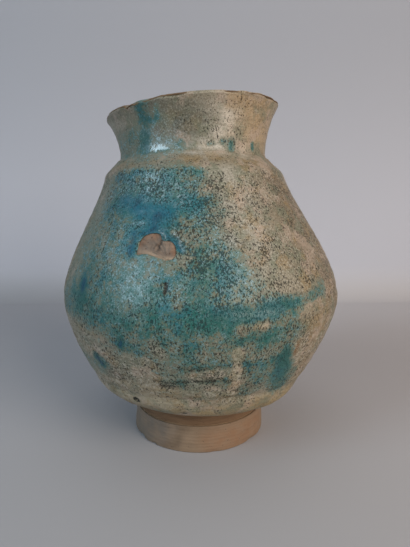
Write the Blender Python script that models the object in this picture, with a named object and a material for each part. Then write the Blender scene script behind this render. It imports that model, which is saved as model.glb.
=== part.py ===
"""A footed pottery jar under a turquoise alkaline glaze, built from the sections that its potter joined.

The body is two thrown bowls set mouth to mouth and a thrown neck, each luted to the next with clay slip
on a ridge that seats in a groove. A coil of clay is smoothed into the corner under the neck, a turned ring
is luted on as the foot, and the broken root of a lug stands on the shoulder. Glaze coats the inside and the
outside, apart from the foot, the lip and the break.

Units are metres and +Z is up. The jar stands on z = 0, its axis is the Z axis, and its front faces -Y.
A bearing round the jar is an angle from the front, positive towards +X.
"""

import math

import bmesh
import bpy
from mathutils import Vector
from mathutils.geometry import interpolate_bezier

MM = 0.001

# Points of the glazed outline, as radius and height
STEM_TOP = (30.6 * MM, 16.6 * MM)
UNDERSIDE_EDGE = (45.6 * MM, 25.2 * MM)
BELLY = (64.4 * MM, 68.4 * MM)
SHOULDER = (41.7 * MM, 120.6 * MM)
NECK_FOOT = (33.8 * MM, 130.1 * MM)
LIP = (39.5 * MM, 149.8 * MM)

# How the outline bends between those points: the pull away from its start and the pull back from its end
UNDERSIDE_PULLS = ((0.4 * MM, 2.6 * MM), (-5.5 * MM, -4.2 * MM))
LOWER_WALL_PULLS = ((6.9 * MM, 4.0 * MM), (0.0, -11.4 * MM))
UPPER_WALL_PULLS = ((0.0, 14.4 * MM), (4.1 * MM, -12.4 * MM))
LEDGE_PULLS = ((-1.5 * MM, 3.1 * MM), (0.8 * MM, -3.0 * MM))
NECK_PULLS = ((-0.9 * MM, 4.4 * MM), (-3.8 * MM, -4.5 * MM))

# How far the jar is out of true: the foot and the mouth sit left of the belly, the shoulder and still more the
# mouth slant up to the right, and the lower bowl is set on its foot with its right side low and pushed in
FOOT_SHIFT = -1.0 * MM
SHOULDER_SHIFT = -4.1 * MM
NECK_SET_BACK = 0.4 * MM
SHOULDER_SLANT = 0.014
MOUTH_SLANT = 0.085
BOWL_SLANT = 0.03
BOWL_PUSH = 4.5 * MM

# Walls, coats and the gap left between pieces that touch
WALL = 5.5 * MM
NECK_WALL = 4.0 * MM
LIP_CROWN = 0.9 * MM
GAP = 0.3 * MM
OUTER_COAT = 0.8 * MM
INNER_COAT = 0.6 * MM
CLAY_DEPTH = GAP + OUTER_COAT

# Floor inside the bowl: its height, where it meets the wall, and its bend as shares of the radius there
FLOOR_HEIGHT = 18.4 * MM
FLOOR_EDGE_HEIGHT = 33.0 * MM
FLOOR_PULLS = ((0.7, 0.0), (-0.1, -10.0 * MM))

# Luted joints: a ridge on the lower piece, a groove in the upper one and slip between them
SLIP = 0.8 * MM
JOINT_RISE = 2.0 * MM
JOINT_STEP = SLIP + 2 * GAP

# Foot ring
FOOT_RADIUS = 31.5 * MM
FOOT_HEIGHT = 11.4 * MM
FOOT_BEVEL = 0.9 * MM
FOOT_INNER_RADIUS = 23.0 * MM
FOOT_FLARE = 1.6 * MM
BASE_DOME = 1.2 * MM

# Seat of the neck, and the coil smoothed into the corner above it
SEAT_HEIGHT = 123.1 * MM
SEAT_INNER_RADIUS = 27.4 * MM
SEAT_OUTER_RADIUS = 31.4 * MM
COLLAR_LOW = 121.7 * MM
COLLAR_HIGH = 131.3 * MM
COLLAR_EDGE = 0.7 * MM

# Limits of the glaze. Outside it ran down to an uneven edge, which stopped short at the front left
GLAZE_LOW = 19.0 * MM
GLAZE_WAVE = 0.35 * MM
GLAZE_SHORT_RISE = 2.0 * MM
GLAZE_SHORT_BEARING = math.radians(-48.0)
GLAZE_SHORT_SPREAD = math.radians(26.0)
GLAZE_EVEN = 22.2 * MM
GLAZE_HIGH = 147.0 * MM
GLAZE_BEAD = 0.35 * MM
LINING_HIGH = 146.4 * MM

# Broken lug root: its middle, its edge as points across and up from there, and its rough face
LUG_BEARING = math.radians(-15.5)
LUG_HEIGHT = 93.6 * MM
LUG_EDGE = (
    (-7.4 * MM, -2.8 * MM),
    (-7.5 * MM, 0.8 * MM),
    (-5.2 * MM, 3.8 * MM),
    (-1.5 * MM, 5.2 * MM),
    (1.3 * MM, 3.9 * MM),
    (2.6 * MM, 2.5 * MM),
    (5.2 * MM, 2.1 * MM),
    (7.4 * MM, -0.9 * MM),
    (6.6 * MM, -4.6 * MM),
    (4.1 * MM, -5.2 * MM),
    (0.6 * MM, -3.9 * MM),
    (-4.0 * MM, -3.2 * MM),
)
LUG_EDGE_STEPS = 3
LUG_RINGS = (0.4, 0.75, 1.0)
LUG_STAND = 1.5 * MM
LUG_ROUGHNESS = 0.35 * MM
LUG_TILT = 0.06
LUG_WAVES = (900.0, 1300.0, 400.0)
LUG_HOLE_REACH = 6.0 * MM

# Chips broken out of the lip: bearing, rise above the lip, and the half sizes of the bite
LIP_CHIPS = (
    (math.radians(-41.5), 1.3 * MM, (1.0 * MM, 3.2 * MM, 1.4 * MM)),
    (math.radians(-31.0), 0.8 * MM, (4.4 * MM, 1.7 * MM, 1.4 * MM)),
)

SEGMENTS = 36
WELD = 0.00001
SHARP_ANGLE = math.radians(35.0)

# Finishes: colour, roughness
BARE_CLAY = ((0.47, 0.33, 0.22), 0.9)
BODY_CLAY = ((0.56, 0.45, 0.33), 0.9)
SLIP_CLAY = ((0.62, 0.52, 0.40), 0.9)
BROKEN_CLAY = ((0.45, 0.29, 0.19), 0.95)
OUTER_GLAZE = ((0.16, 0.40, 0.40), 0.35)
INNER_GLAZE = ((0.30, 0.46, 0.42), 0.4)


def spot(radius, height):
    """A point of a profile, in the plane that the profile is turned from."""
    return Vector((radius, 0.0, height))


def curve(start, end, pulls, points):
    """A smooth stretch of a profile between two points, as one Bezier segment."""
    begin = spot(*start)
    finish = spot(*end)
    return interpolate_bezier(begin, begin + spot(*pulls[0]), finish + spot(*pulls[1]), finish, points)


def joined(*stretches):
    """Stretches of a profile end to end, without the points that they share."""
    path = list(stretches[0])
    for stretch in stretches[1:]:
        begin = 1 if (stretch[0] - path[-1]).length < WELD else 0
        path.extend(stretch[begin:])
    return path


def offset(path, distance):
    """A rising profile moved square to itself, outwards where the distance is positive."""
    moved = []
    for index, point in enumerate(path):
        along = path[min(index + 1, len(path) - 1)] - path[max(index - 1, 0)]
        outwards = Vector((along.z, 0.0, -along.x)).normalized()
        moved.append(point + outwards * distance)
    return moved


def at_height(path, height):
    """The point where a rising profile passes a height."""
    for low, high in zip(path, path[1:]):
        if low.z <= height <= high.z:
            return low.lerp(high, (height - low.z) / max(high.z - low.z, WELD))
    return path[0].copy() if height < path[0].z else path[-1].copy()


def between(path, low, high):
    """The stretch of a rising profile between two heights."""
    inside = [point for point in path if low + WELD < point.z < high - WELD]
    return [at_height(path, low), *inside, at_height(path, high)]


def smooth_step(value):
    value = min(max(value, 0.0), 1.0)
    return value * value * (3.0 - 2.0 * value)


# The glazed outline from the top of the stem to the lip, and the faces of the clay that lie behind it
NECK_LINE = curve(NECK_FOOT, LIP, NECK_PULLS, 6)
OUTLINE = joined(
    curve(STEM_TOP, UNDERSIDE_EDGE, UNDERSIDE_PULLS, 5),
    curve(UNDERSIDE_EDGE, BELLY, LOWER_WALL_PULLS, 7),
    curve(BELLY, SHOULDER, UPPER_WALL_PULLS, 6),
    curve(SHOULDER, NECK_FOOT, LEDGE_PULLS, 5),
    NECK_LINE,
)
CLAY = offset(OUTLINE, -CLAY_DEPTH)
BODY_INSIDE = offset(OUTLINE, -CLAY_DEPTH - WALL)
NECK_INSIDE = offset(NECK_LINE, -CLAY_DEPTH - NECK_WALL)


def out_of_true(point):
    """Where a point of the true turned form lies on the real jar, with its lean and its slants."""
    above_foot = smooth_step((point.z - FOOT_HEIGHT) / (UNDERSIDE_EDGE[1] - FOOT_HEIGHT))
    to_belly = smooth_step((point.z - FOOT_HEIGHT) / (BELLY[1] - FOOT_HEIGHT))
    to_shoulder = smooth_step((point.z - BELLY[1]) / (SHOULDER[1] - BELLY[1]))
    to_lip = smooth_step((point.z - BELLY[1]) / (LIP[1] - BELLY[1]))
    up_neck = smooth_step((point.z - NECK_FOOT[1]) / (LIP[1] - NECK_FOOT[1]))
    shift = FOOT_SHIFT * (1.0 - to_belly) + SHOULDER_SHIFT * to_lip + NECK_SET_BACK * up_neck
    slant = SHOULDER_SLANT * to_shoulder + (MOUTH_SLANT - SHOULDER_SLANT) * up_neck
    on_bowl = above_foot * (1.0 - to_belly)
    slant -= BOWL_SLANT * on_bowl
    push = BOWL_PUSH * on_bowl * (max(point.x, 0.0) / BELLY[0]) ** 2
    return Vector((point.x + shift - push, point.y, point.z + slant * point.x))


def on_bearing(bearing, radius, height):
    """A point at a bearing round the jar's axis."""
    return Vector((radius * math.sin(bearing), -radius * math.cos(bearing), height))


def material(name, finish):
    """A plain Principled finish: a colour and a roughness."""
    colour, roughness = finish
    made = bpy.data.materials.new(name)
    made.use_nodes = True
    shader = made.node_tree.nodes["Principled BSDF"]
    shader.inputs["Base Color"].default_value = (*colour, 1.0)
    shader.inputs["Roughness"].default_value = roughness
    shader.inputs["Metallic"].default_value = 0.0
    return made


def piece(name, mesh, finish, parent):
    """A named object from a finished bmesh, with its faces pointing out."""
    bmesh.ops.remove_doubles(mesh, verts=mesh.verts, dist=WELD)
    bmesh.ops.recalc_face_normals(mesh, faces=mesh.faces)
    data = bpy.data.meshes.new(name)
    mesh.to_mesh(data)
    mesh.free()
    data.shade_smooth()
    data.set_sharp_from_angle(angle=SHARP_ANGLE)
    data.materials.append(material(name, finish))
    made = bpy.data.objects.new(name, data)
    bpy.context.scene.collection.objects.link(made)
    made.parent = parent
    return made


def turned(name, profile, finish, parent):
    """A profile turned full circle. One that starts and ends on the axis stays open there."""
    on_axis = profile[0].x < WELD
    mesh = bmesh.new()
    corners = [mesh.verts.new(point) for point in profile]
    pairs = list(zip(corners, corners[1:]))
    if not on_axis:
        pairs.append((corners[-1], corners[0]))
    edges = [mesh.edges.new(pair) for pair in pairs]
    bmesh.ops.spin(
        mesh,
        geom=corners + edges,
        cent=(0.0, 0.0, 0.0),
        axis=(0.0, 0.0, 1.0),
        angle=math.tau,
        steps=SEGMENTS,
        use_merge=True,
    )
    for vertex in mesh.verts:
        vertex.co = out_of_true(vertex.co)
    return piece(name, mesh, finish, parent)


def thrown_by_hand(name, profile_at, finish, parent):
    """A ring whose profile changes with the bearing, with the same number of points all the way round."""
    mesh = bmesh.new()
    columns = []
    for index in range(SEGMENTS):
        angle = math.tau * index / SEGMENTS
        bearing = angle + math.pi / 2
        points = [on_bearing(bearing, point.x, point.z) for point in profile_at(bearing)]
        columns.append([mesh.verts.new(out_of_true(point)) for point in points])
    for column, following in zip(columns, columns[1:] + columns[:1]):
        count = len(column)
        for index in range(count):
            after = (index + 1) % count
            mesh.faces.new((column[index], column[after], following[after], following[index]))
    return piece(name, mesh, finish, parent)


def joint_line(outer_radius, inner_radius, height):
    """The ridge of a luted joint, from its outer edge over the crest to its inner edge."""
    crest = (outer_radius + inner_radius) / 2
    return [spot(outer_radius, height), spot(crest, height + JOINT_RISE), spot(inner_radius, height)]


def raised(path, height):
    return [point + Vector((0.0, 0.0, height)) for point in path]


def joints():
    """The ridge line of each luted joint, by the part of the jar that it joins on."""
    belly_out = at_height(CLAY, BELLY[1]).x
    return {
        "foot": joint_line(STEM_TOP[0], FOOT_INNER_RADIUS, FOOT_HEIGHT),
        "belly": joint_line(belly_out, belly_out - WALL, BELLY[1]),
        "neck": joint_line(SEAT_OUTER_RADIUS, SEAT_INNER_RADIUS, SEAT_HEIGHT),
    }


def foot_ring(ridge, parent):
    """The turned ring that the jar stands on, with bevelled outer edges and a flared inside."""
    profile = [
        spot(FOOT_RADIUS - FOOT_BEVEL, 0.0),
        spot(FOOT_RADIUS, FOOT_BEVEL),
        spot(FOOT_RADIUS, FOOT_HEIGHT - FOOT_BEVEL),
        *ridge,
        spot(FOOT_INNER_RADIUS + FOOT_FLARE, 0.0),
    ]
    return turned("foot_ring", profile, BARE_CLAY, parent)


def floor_and_wall(top):
    """The inside of the bowl, from the middle of its floor out and up the wall to a height."""
    edge = at_height(BODY_INSIDE, FLOOR_EDGE_HEIGHT)
    pulls = [(share * edge.x, rise) for share, rise in FLOOR_PULLS]
    floor = curve((0.0, FLOOR_HEIGHT), (edge.x, edge.z), pulls, 6)
    return joined(floor, between(BODY_INSIDE, edge.z, top))


def lower_body(foot_ridge, belly_ridge, parent):
    """The lower thrown bowl: the stem above the foot, the underside and the wall up to the belly joint."""
    groove = raised(foot_ridge, JOINT_STEP)
    profile = [
        spot(0.0, groove[2].z + BASE_DOME),
        *reversed(groove),
        *between(CLAY, CLAY[0].z, BELLY[1]),
        belly_ridge[1],
        *reversed(floor_and_wall(BELLY[1])),
    ]
    return turned("lower_body", profile, BODY_CLAY, parent)


def upper_body(belly_ridge, neck_ridge, parent):
    """The upper thrown section: the cone from the belly joint to the seat of the neck."""
    groove = raised(belly_ridge, JOINT_STEP)
    outside = between(CLAY, groove[0].z, COLLAR_LOW - GAP)
    inside = between(BODY_INSIDE, groove[2].z, SEAT_HEIGHT - WALL)
    profile = [groove[1], *outside, *neck_ridge, *reversed(inside)]
    return turned("upper_body", profile, BODY_CLAY, parent)


def neck(neck_ridge, parent):
    """The thrown neck with its flared, rounded lip. Chips are broken out of the front of the lip."""
    groove = raised(neck_ridge, JOINT_STEP)
    wall = between(CLAY, COLLAR_HIGH + GAP, LIP[1])
    bore = between(NECK_INSIDE, NECK_FOOT[1], LIP[1] - GAP)
    profile = [
        groove[0],
        spot(SEAT_OUTER_RADIUS, COLLAR_HIGH + GAP),
        *wall,
        spot((wall[-1].x + bore[-1].x) / 2, LIP[1] + LIP_CROWN),
        *reversed(bore),
        *reversed(groove[1:]),
    ]
    made = turned("neck", profile, BARE_CLAY, parent)
    for number, (bearing, rise, half_sizes) in enumerate(LIP_CHIPS, 1):
        place = out_of_true(on_bearing(bearing, wall[-1].x, LIP[1] + rise))
        cut(made, chip_cutter(f"lip_chip_{number}", place, half_sizes, bearing, parent))
    return made


def chip_cutter(name, place, half_sizes, bearing, parent):
    """A rounded lump in the shape of the clay that broke away."""
    mesh = bmesh.new()
    bmesh.ops.create_icosphere(mesh, subdivisions=2, radius=1.0)
    for vertex in mesh.verts:
        vertex.co = Vector(share * size for share, size in zip(vertex.co, half_sizes))
    made = piece(name, mesh, BARE_CLAY, parent)
    made.location = place
    made.rotation_euler = (0.0, 0.0, bearing)
    return hidden(made)


def hidden(cutter):
    """Marks an object as a cutter only."""
    cutter.hide_render = True
    cutter.display_type = "WIRE"
    return cutter


def cut(target, cutter):
    """Takes the cutter's shape out of the target."""
    modifier = target.modifiers.new(cutter.name, "BOOLEAN")
    modifier.operation = "DIFFERENCE"
    modifier.solver = "EXACT"
    modifier.object = cutter


def neck_collar(parent):
    """The coil of clay smoothed into the corner between the shoulder and the neck."""
    exposed = between(CLAY, COLLAR_LOW, COLLAR_HIGH)
    back = SEAT_OUTER_RADIUS + GAP
    profile = [
        *exposed,
        spot(back, COLLAR_HIGH),
        spot(back, SEAT_HEIGHT + GAP),
        spot(exposed[0].x - COLLAR_EDGE, COLLAR_LOW + GAP),
    ]
    return turned("neck_collar", profile, BODY_CLAY, parent)


def slip_ring(name, ridge, parent):
    """The fired slip that fills a luted joint."""
    profile = [*raised(ridge, GAP), *reversed(raised(ridge, GAP + SLIP))]
    return turned(name, profile, SLIP_CLAY, parent)


def glaze_edge(bearing):
    """The height at which the coat's lower edge stopped running."""
    from_short = math.remainder(bearing - GLAZE_SHORT_BEARING, math.tau)
    short = GLAZE_SHORT_RISE * math.exp(-((from_short / GLAZE_SHORT_SPREAD) ** 2))
    return GLAZE_LOW + short + GLAZE_WAVE * (math.sin(5 * bearing + 1.1) + math.sin(9 * bearing))


def outer_glaze(lug_hole, parent):
    """The coat outside, from its run edge above the foot to the worn edge under the lip."""
    back_line = offset(OUTLINE, -OUTER_COAT)
    even = [index for index, point in enumerate(OUTLINE) if GLAZE_EVEN < point.z < GLAZE_HIGH]

    def coat_line(line, low):
        return [at_height(line, low), *(line[index] for index in even), at_height(line, GLAZE_HIGH)]

    def profile_at(bearing):
        low = glaze_edge(bearing)
        face = coat_line(OUTLINE, low)
        face[0] = face[0] + spot(GLAZE_BEAD, -GLAZE_BEAD)
        return [*face, *reversed(coat_line(back_line, low))]

    made = thrown_by_hand("outer_glaze", profile_at, OUTER_GLAZE, parent)
    cut(made, lug_hole)
    return made


def inner_glaze(parent):
    """The lining that makes the jar hold water, from the floor to just under the lip."""
    clay = joined(
        floor_and_wall(SEAT_HEIGHT - WALL),
        [spot(SEAT_INNER_RADIUS, SEAT_HEIGHT), spot(SEAT_INNER_RADIUS, SEAT_HEIGHT + JOINT_STEP)],
        between(NECK_INSIDE, NECK_FOOT[1], LINING_HIGH),
    )
    back = offset(clay, -GAP)
    face = offset(clay, -GAP - INNER_COAT)
    for line in (back, face):
        line[0].x = 0.0
    return turned("inner_glaze", [*back, *reversed(face)], INNER_GLAZE, parent)


def lug_outline(grow):
    """The lug's edge as a smooth closed line through its points, moved outwards by a margin."""
    points = [Vector(point) for point in LUG_EDGE]
    count = len(points)
    line = []
    for index, point in enumerate(points):
        before, after, beyond = (points[(index + step) % count] for step in (-1, 1, 2))
        handles = (point + (after - before) / 6, after - (beyond - point) / 6)
        line.extend(interpolate_bezier(point, *handles, after, LUG_EDGE_STEPS + 1)[:-1])
    return [point + point.normalized() * grow for point in line]


def lug_point(flat, height):
    """A point over the shoulder, from its place across and up the lug and its height off the clay."""
    clay = at_height(CLAY, LUG_HEIGHT + flat.y)
    bearing = LUG_BEARING + flat.x / clay.x
    return out_of_true(on_bearing(bearing, clay.x + height, clay.z))


def break_height(flat):
    """The rough face left where the lug snapped off, with a ridge along its lower edge."""
    across, up, skew = LUG_WAVES
    waves = math.sin(across * flat.x) + math.sin(up * flat.y + skew * flat.x)
    return LUG_STAND + LUG_ROUGHNESS * waves / 2 - LUG_TILT * flat.y


def lug_solid(name, grow, low, top, parent):
    """A pad over the shoulder with the lug's edge, between a low face and a top face."""
    mesh = bmesh.new()
    edge = lug_outline(grow)
    count = len(edge)
    rims = []
    for height_at in (low, top):
        origin = Vector((0.0, 0.0))
        middle = mesh.verts.new(lug_point(origin, height_at(origin)))
        rings = []
        for share in LUG_RINGS:
            flats = [point * share for point in edge]
            rings.append([mesh.verts.new(lug_point(flat, height_at(flat))) for flat in flats])
        for index in range(count):
            after = (index + 1) % count
            mesh.faces.new((middle, rings[0][index], rings[0][after]))
            for inner, outer in zip(rings, rings[1:]):
                mesh.faces.new((inner[index], outer[index], outer[after], inner[after]))
        rims.append(rings[-1])
    for index in range(count):
        after = (index + 1) % count
        mesh.faces.new((rims[0][index], rims[0][after], rims[1][after], rims[1][index]))
    return piece(name, mesh, BROKEN_CLAY, parent)


def lug_root(parent):
    """The root of a lug that was pressed onto the shoulder and later broke off."""
    return lug_solid("lug_root", 0.0, lambda flat: GAP, break_height, parent)


def lug_hole_cutter(parent):
    """The opening that the lug leaves in the coat of glaze."""
    return hidden(lug_solid("lug_hole", GAP, lambda flat: -GAP, lambda flat: LUG_HOLE_REACH, parent))


def clear_scene():
    for item in list(bpy.data.objects):
        bpy.data.objects.remove(item)


def main():
    clear_scene()
    jar = bpy.data.objects.new("jar", None)
    bpy.context.scene.collection.objects.link(jar)
    ridges = joints()
    foot_ring(ridges["foot"], jar)
    lower_body(ridges["foot"], ridges["belly"], jar)
    upper_body(ridges["belly"], ridges["neck"], jar)
    neck(ridges["neck"], jar)
    neck_collar(jar)
    for name, ridge in ridges.items():
        slip_ring(f"{name}_slip", ridge, jar)
    lug_root(jar)
    outer_glaze(lug_hole_cutter(jar), jar)
    inner_glaze(jar)


main()
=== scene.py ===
# %% [markdown]
# A weathered turquoise jar.
# The jar was thrown as two bowls and a neck, luted together, set on a turned foot ring and dipped in a
# copper glaze. Damp ground then turned much of that glaze into a pitted cream skin, so most of this
# lesson is about glaze. The packed part already holds every section of clay. Here the pieces that show
# are made again with a fine mesh, in the same place, and the sections inside the wall keep their packed
# shape and get a clay finish.

# %% Load the packed part and keep its box
import math
import random

import bmesh
import bpy
import numpy as np
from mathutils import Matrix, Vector, noise


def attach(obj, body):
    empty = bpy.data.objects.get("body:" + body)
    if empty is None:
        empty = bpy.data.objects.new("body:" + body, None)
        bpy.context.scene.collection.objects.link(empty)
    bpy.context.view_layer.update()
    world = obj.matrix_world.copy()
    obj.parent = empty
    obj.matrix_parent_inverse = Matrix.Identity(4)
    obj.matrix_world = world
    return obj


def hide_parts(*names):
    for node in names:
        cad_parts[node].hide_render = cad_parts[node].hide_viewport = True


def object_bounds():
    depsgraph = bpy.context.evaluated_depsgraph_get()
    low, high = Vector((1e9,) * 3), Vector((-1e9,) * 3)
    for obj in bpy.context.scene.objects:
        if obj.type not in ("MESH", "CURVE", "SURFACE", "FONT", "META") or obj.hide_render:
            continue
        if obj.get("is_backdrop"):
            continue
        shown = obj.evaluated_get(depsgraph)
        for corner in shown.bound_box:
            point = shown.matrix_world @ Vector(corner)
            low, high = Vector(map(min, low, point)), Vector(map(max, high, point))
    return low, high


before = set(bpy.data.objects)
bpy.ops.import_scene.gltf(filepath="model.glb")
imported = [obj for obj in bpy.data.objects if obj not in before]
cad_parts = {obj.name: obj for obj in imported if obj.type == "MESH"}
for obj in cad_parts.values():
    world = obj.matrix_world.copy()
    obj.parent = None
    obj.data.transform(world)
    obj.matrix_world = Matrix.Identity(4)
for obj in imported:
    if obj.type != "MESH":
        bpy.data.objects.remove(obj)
cad_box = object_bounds()
MM = 0.001
print("packed nodes:", sorted(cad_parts))

# %% [markdown]
# The camera comes first, because everything after it is judged through it. The photograph has the wide
# lens of a phone held close to the jar, a little above its middle. Its place and its tilt were fitted
# to the ellipses of the foot and the mouth. A focal length in pixels turns into a lens length over the
# long side of the frame.

# %% Camera
CAMERA_PLACE = (-1.0, -200.0, 106.4)
CAMERA_TILT_DOWN = 8.7
CAMERA_TURN_RIGHT = 0.85
FOCAL_PIXELS = 411.0
FRAME_HEIGHT_PIXELS = 547.0
SENSOR = 36.0
NEAR_LIMIT = 10.0

lens = bpy.data.cameras.new("phone")
lens.sensor_width = SENSOR
lens.lens = FOCAL_PIXELS / FRAME_HEIGHT_PIXELS * SENSOR
lens.clip_start = NEAR_LIMIT * MM
camera = bpy.data.objects.new("phone", lens)
camera.location = Vector(CAMERA_PLACE) * MM
camera.rotation_euler = (math.radians(90 - CAMERA_TILT_DOWN), 0.0, math.radians(-CAMERA_TURN_RIGHT))
bpy.context.scene.collection.objects.link(camera)
bpy.context.scene.camera = camera
print(f"lens {lens.lens:.1f} mm at {CAMERA_PLACE} mm")

# %% [markdown]
# The jar stands on a pale paper sweep: a floor that bends up into a wall, so that no hard line shows
# behind the jar. It could be a plane and a box, but one bent sheet gives the soft band where the floor
# turns into the wall. The bend is a quarter circle between two straight runs, pulled sideways into a
# sheet.

# %% Paper sweep
SWEEP_FRONT = -3500.0
SWEEP_BEND = 262.0
SWEEP_RADIUS = 40.0
SWEEP_TOP = 1700.0
SWEEP_HALF_WIDTH = 3500.0
SWEEP_BEND_STEPS = 24


def sweep_line():
    """The sheet from the side, as points back and up in millimetres."""
    line = [(SWEEP_FRONT, 0.0)]
    for step in range(SWEEP_BEND_STEPS + 1):
        turn = math.pi / 2 * step / SWEEP_BEND_STEPS
        line.append((SWEEP_BEND + SWEEP_RADIUS * math.sin(turn), SWEEP_RADIUS * (1 - math.cos(turn))))
    line.append((SWEEP_BEND + SWEEP_RADIUS, SWEEP_TOP))
    return line


def paper_sweep():
    """The sheet as an object of the stage."""
    line = sweep_line()
    sides = (-SWEEP_HALF_WIDTH, SWEEP_HALF_WIDTH)
    points = [(x * MM, y * MM, z * MM) for y, z in line for x in sides]
    faces = [(2 * i, 2 * i + 1, 2 * i + 3, 2 * i + 2) for i in range(len(line) - 1)]
    sheet = bpy.data.meshes.new("paper_sweep")
    sheet.from_pydata(points, [], faces)
    sheet.shade_smooth()
    made = bpy.data.objects.new("paper_sweep", sheet)
    bpy.context.scene.collection.objects.link(made)
    made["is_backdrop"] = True
    return made


sweep = paper_sweep()
print("sweep faces:", len(sweep.data.polygons))

# %% [markdown]
# The light in the photograph is soft and comes from two sides. A cool window on the left leaves the
# pale streaks on the neck, the shoulder and the belly. A larger, warmer lamp above and to the right
# lights the floor and throws the soft shadow to the left of the foot. Area lights give both, a weak
# panel overhead softens them, and a dim grey world fills what they leave.

# %% Lights
LAMPS = {
    "cool_window": ((-575.0, -430.0, 400.0), (280.0, 480.0), (0.64, 0.85, 1.0), 2.15),
    "warm_side": ((480.0, -600.0, 400.0), (480.0, 480.0), (1.0, 0.90, 0.80), 5.0),
    "soft_ceiling": ((0.0, -100.0, 1000.0), (700.0, 700.0), (1.0, 0.98, 0.97), 1.0),
}
LAMP_AIM = (0.0, 0.0, 80.0)
WORLD_COLOUR = (0.62, 0.64, 0.68)
WORLD_STRENGTH = 0.17


def lamp(name, place, sizes, colour, watts):
    """A soft panel of light that faces the jar."""
    light = bpy.data.lights.new(name, "AREA")
    light.shape = "RECTANGLE"
    light.size, light.size_y = (size * MM for size in sizes)
    light.color = colour
    light.energy = watts
    made = bpy.data.objects.new(name, light)
    made.location = Vector(place) * MM
    made.rotation_euler = (Vector(LAMP_AIM) - Vector(place)).to_track_quat("-Z", "Y").to_euler()
    bpy.context.scene.collection.objects.link(made)


for lamp_name, (place, sizes, colour, watts) in LAMPS.items():
    lamp(lamp_name, place, sizes, colour, watts)
world = bpy.data.worlds.new("room")
world.use_nodes = True
world.node_tree.nodes["Background"].inputs["Color"].default_value = (*WORLD_COLOUR, 1.0)
world.node_tree.nodes["Background"].inputs["Strength"].default_value = WORLD_STRENGTH
bpy.context.scene.world = world
bpy.context.scene.view_settings.view_transform = "Standard"
print("lamps:", sorted(LAMPS))

# %% [markdown]
# Every wall, coat and lining of the jar follows one outline. It is drawn as five smooth bends, with the
# radius and the height of their ends in millimetres and the pull at each end, the same numbers as in
# the packed part. A dense line through them, measured along its length, lets the fine meshes put their
# rows at even steps.

# %% Outline
STEM_TOP = (30.6, 16.6)
UNDERSIDE_EDGE = (45.6, 25.2)
BELLY = (64.4, 68.4)
SHOULDER = (41.7, 120.6)
NECK_FOOT = (33.8, 130.1)
LIP = (39.5, 149.8)
BENDS = (
    (STEM_TOP, (0.4, 2.6), (-5.5, -4.2), UNDERSIDE_EDGE),
    (UNDERSIDE_EDGE, (6.9, 4.0), (0.0, -11.4), BELLY),
    (BELLY, (0.0, 14.4), (4.1, -12.4), SHOULDER),
    (SHOULDER, (-1.5, 3.1), (0.8, -3.0), NECK_FOOT),
    (NECK_FOOT, (-0.9, 4.4), (-3.8, -4.5), LIP),
)
BEND_POINTS = 60
SHORTEST_STEP = 1e-6


def bend(start, pull_out, pull_back, end, count=BEND_POINTS):
    """Points of one smooth stretch of a profile, as radius and height."""
    share = np.linspace(0.0, 1.0, count)[:, None]
    left = 1.0 - share
    start, end = np.array(start), np.array(end)
    near, far = start + pull_out, end + pull_back
    return left**3 * start + 3 * left**2 * share * near + 3 * left * share**2 * far + share**3 * end


class Line:
    """A profile with its length measured along it, which gives points and outward directions."""

    def __init__(self, points):
        self.points = np.array(points)
        steps = np.linalg.norm(np.diff(self.points, axis=0), axis=1)
        self.points = self.points[np.concatenate(([True], steps > SHORTEST_STEP))]
        steps = np.linalg.norm(np.diff(self.points, axis=0), axis=1)
        self.along = np.concatenate(([0.0], np.cumsum(steps)))
        slope = np.gradient(self.points, self.along, axis=0)
        slope /= np.linalg.norm(slope, axis=1)[:, None]
        self.outward = np.stack([slope[:, 1], -slope[:, 0]], axis=1)

    def length_at(self, height):
        """The length along a rising line at which it passes a height."""
        return np.interp(height, self.points[:, 1], self.along)

    def at(self, length, off=0.0):
        """Radius and height at a length along the line, moved off it outwards."""
        radius, height = (np.interp(length, self.along, self.points[:, axis]) for axis in (0, 1))
        out_r, out_z = (np.interp(length, self.along, self.outward[:, axis]) for axis in (0, 1))
        return radius + off * out_r, height + off * out_z

    def moved(self, off):
        """The whole line moved outwards by a distance."""
        return self.points + off * self.outward


OUTLINE = Line(np.vstack([bend(*row) for row in BENDS]))
print(f"outline {OUTLINE.along[-1]:.1f} mm long")

# %% [markdown]
# The potter's hand shows in the lean of the jar. The foot and the mouth sit left of the belly, the
# shoulder and the mouth slant up to the right, and the bowl hangs a little low on its right side and is
# pushed in there. Each piece is made true first and then moved by one shared rule, which is again the
# one in the packed part, so all pieces stay nested.

# %% Out of true
FOOT_HEIGHT = 11.4
FOOT_SHIFT = -1.0
SHOULDER_SHIFT = -4.1
NECK_SET_BACK = 0.4
SHOULDER_SLANT = 0.014
MOUTH_SLANT = 0.085
BOWL_SLANT = 0.03
BOWL_PUSH = 4.5


def smooth(value, low, high):
    """A soft step from 0 at one limit to 1 at the other."""
    share = np.clip((value - low) / (high - low), 0.0, 1.0)
    return share * share * (3.0 - 2.0 * share)


def lean(x, z):
    """How far a point of the true form is shifted to the right, and how steeply the jar slants there."""
    above_foot = smooth(z, FOOT_HEIGHT, UNDERSIDE_EDGE[1])
    to_belly = smooth(z, FOOT_HEIGHT, BELLY[1])
    to_shoulder = smooth(z, BELLY[1], SHOULDER[1])
    to_lip = smooth(z, BELLY[1], LIP[1])
    up_neck = smooth(z, NECK_FOOT[1], LIP[1])
    on_bowl = above_foot * (1.0 - to_belly)
    shift = FOOT_SHIFT * (1.0 - to_belly) + SHOULDER_SHIFT * to_lip + NECK_SET_BACK * up_neck
    shift = shift - BOWL_PUSH * on_bowl * (np.maximum(x, 0.0) / BELLY[0]) ** 2
    slant = SHOULDER_SLANT * to_shoulder + (MOUTH_SLANT - SHOULDER_SLANT) * up_neck - BOWL_SLANT * on_bowl
    return shift, slant


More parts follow.
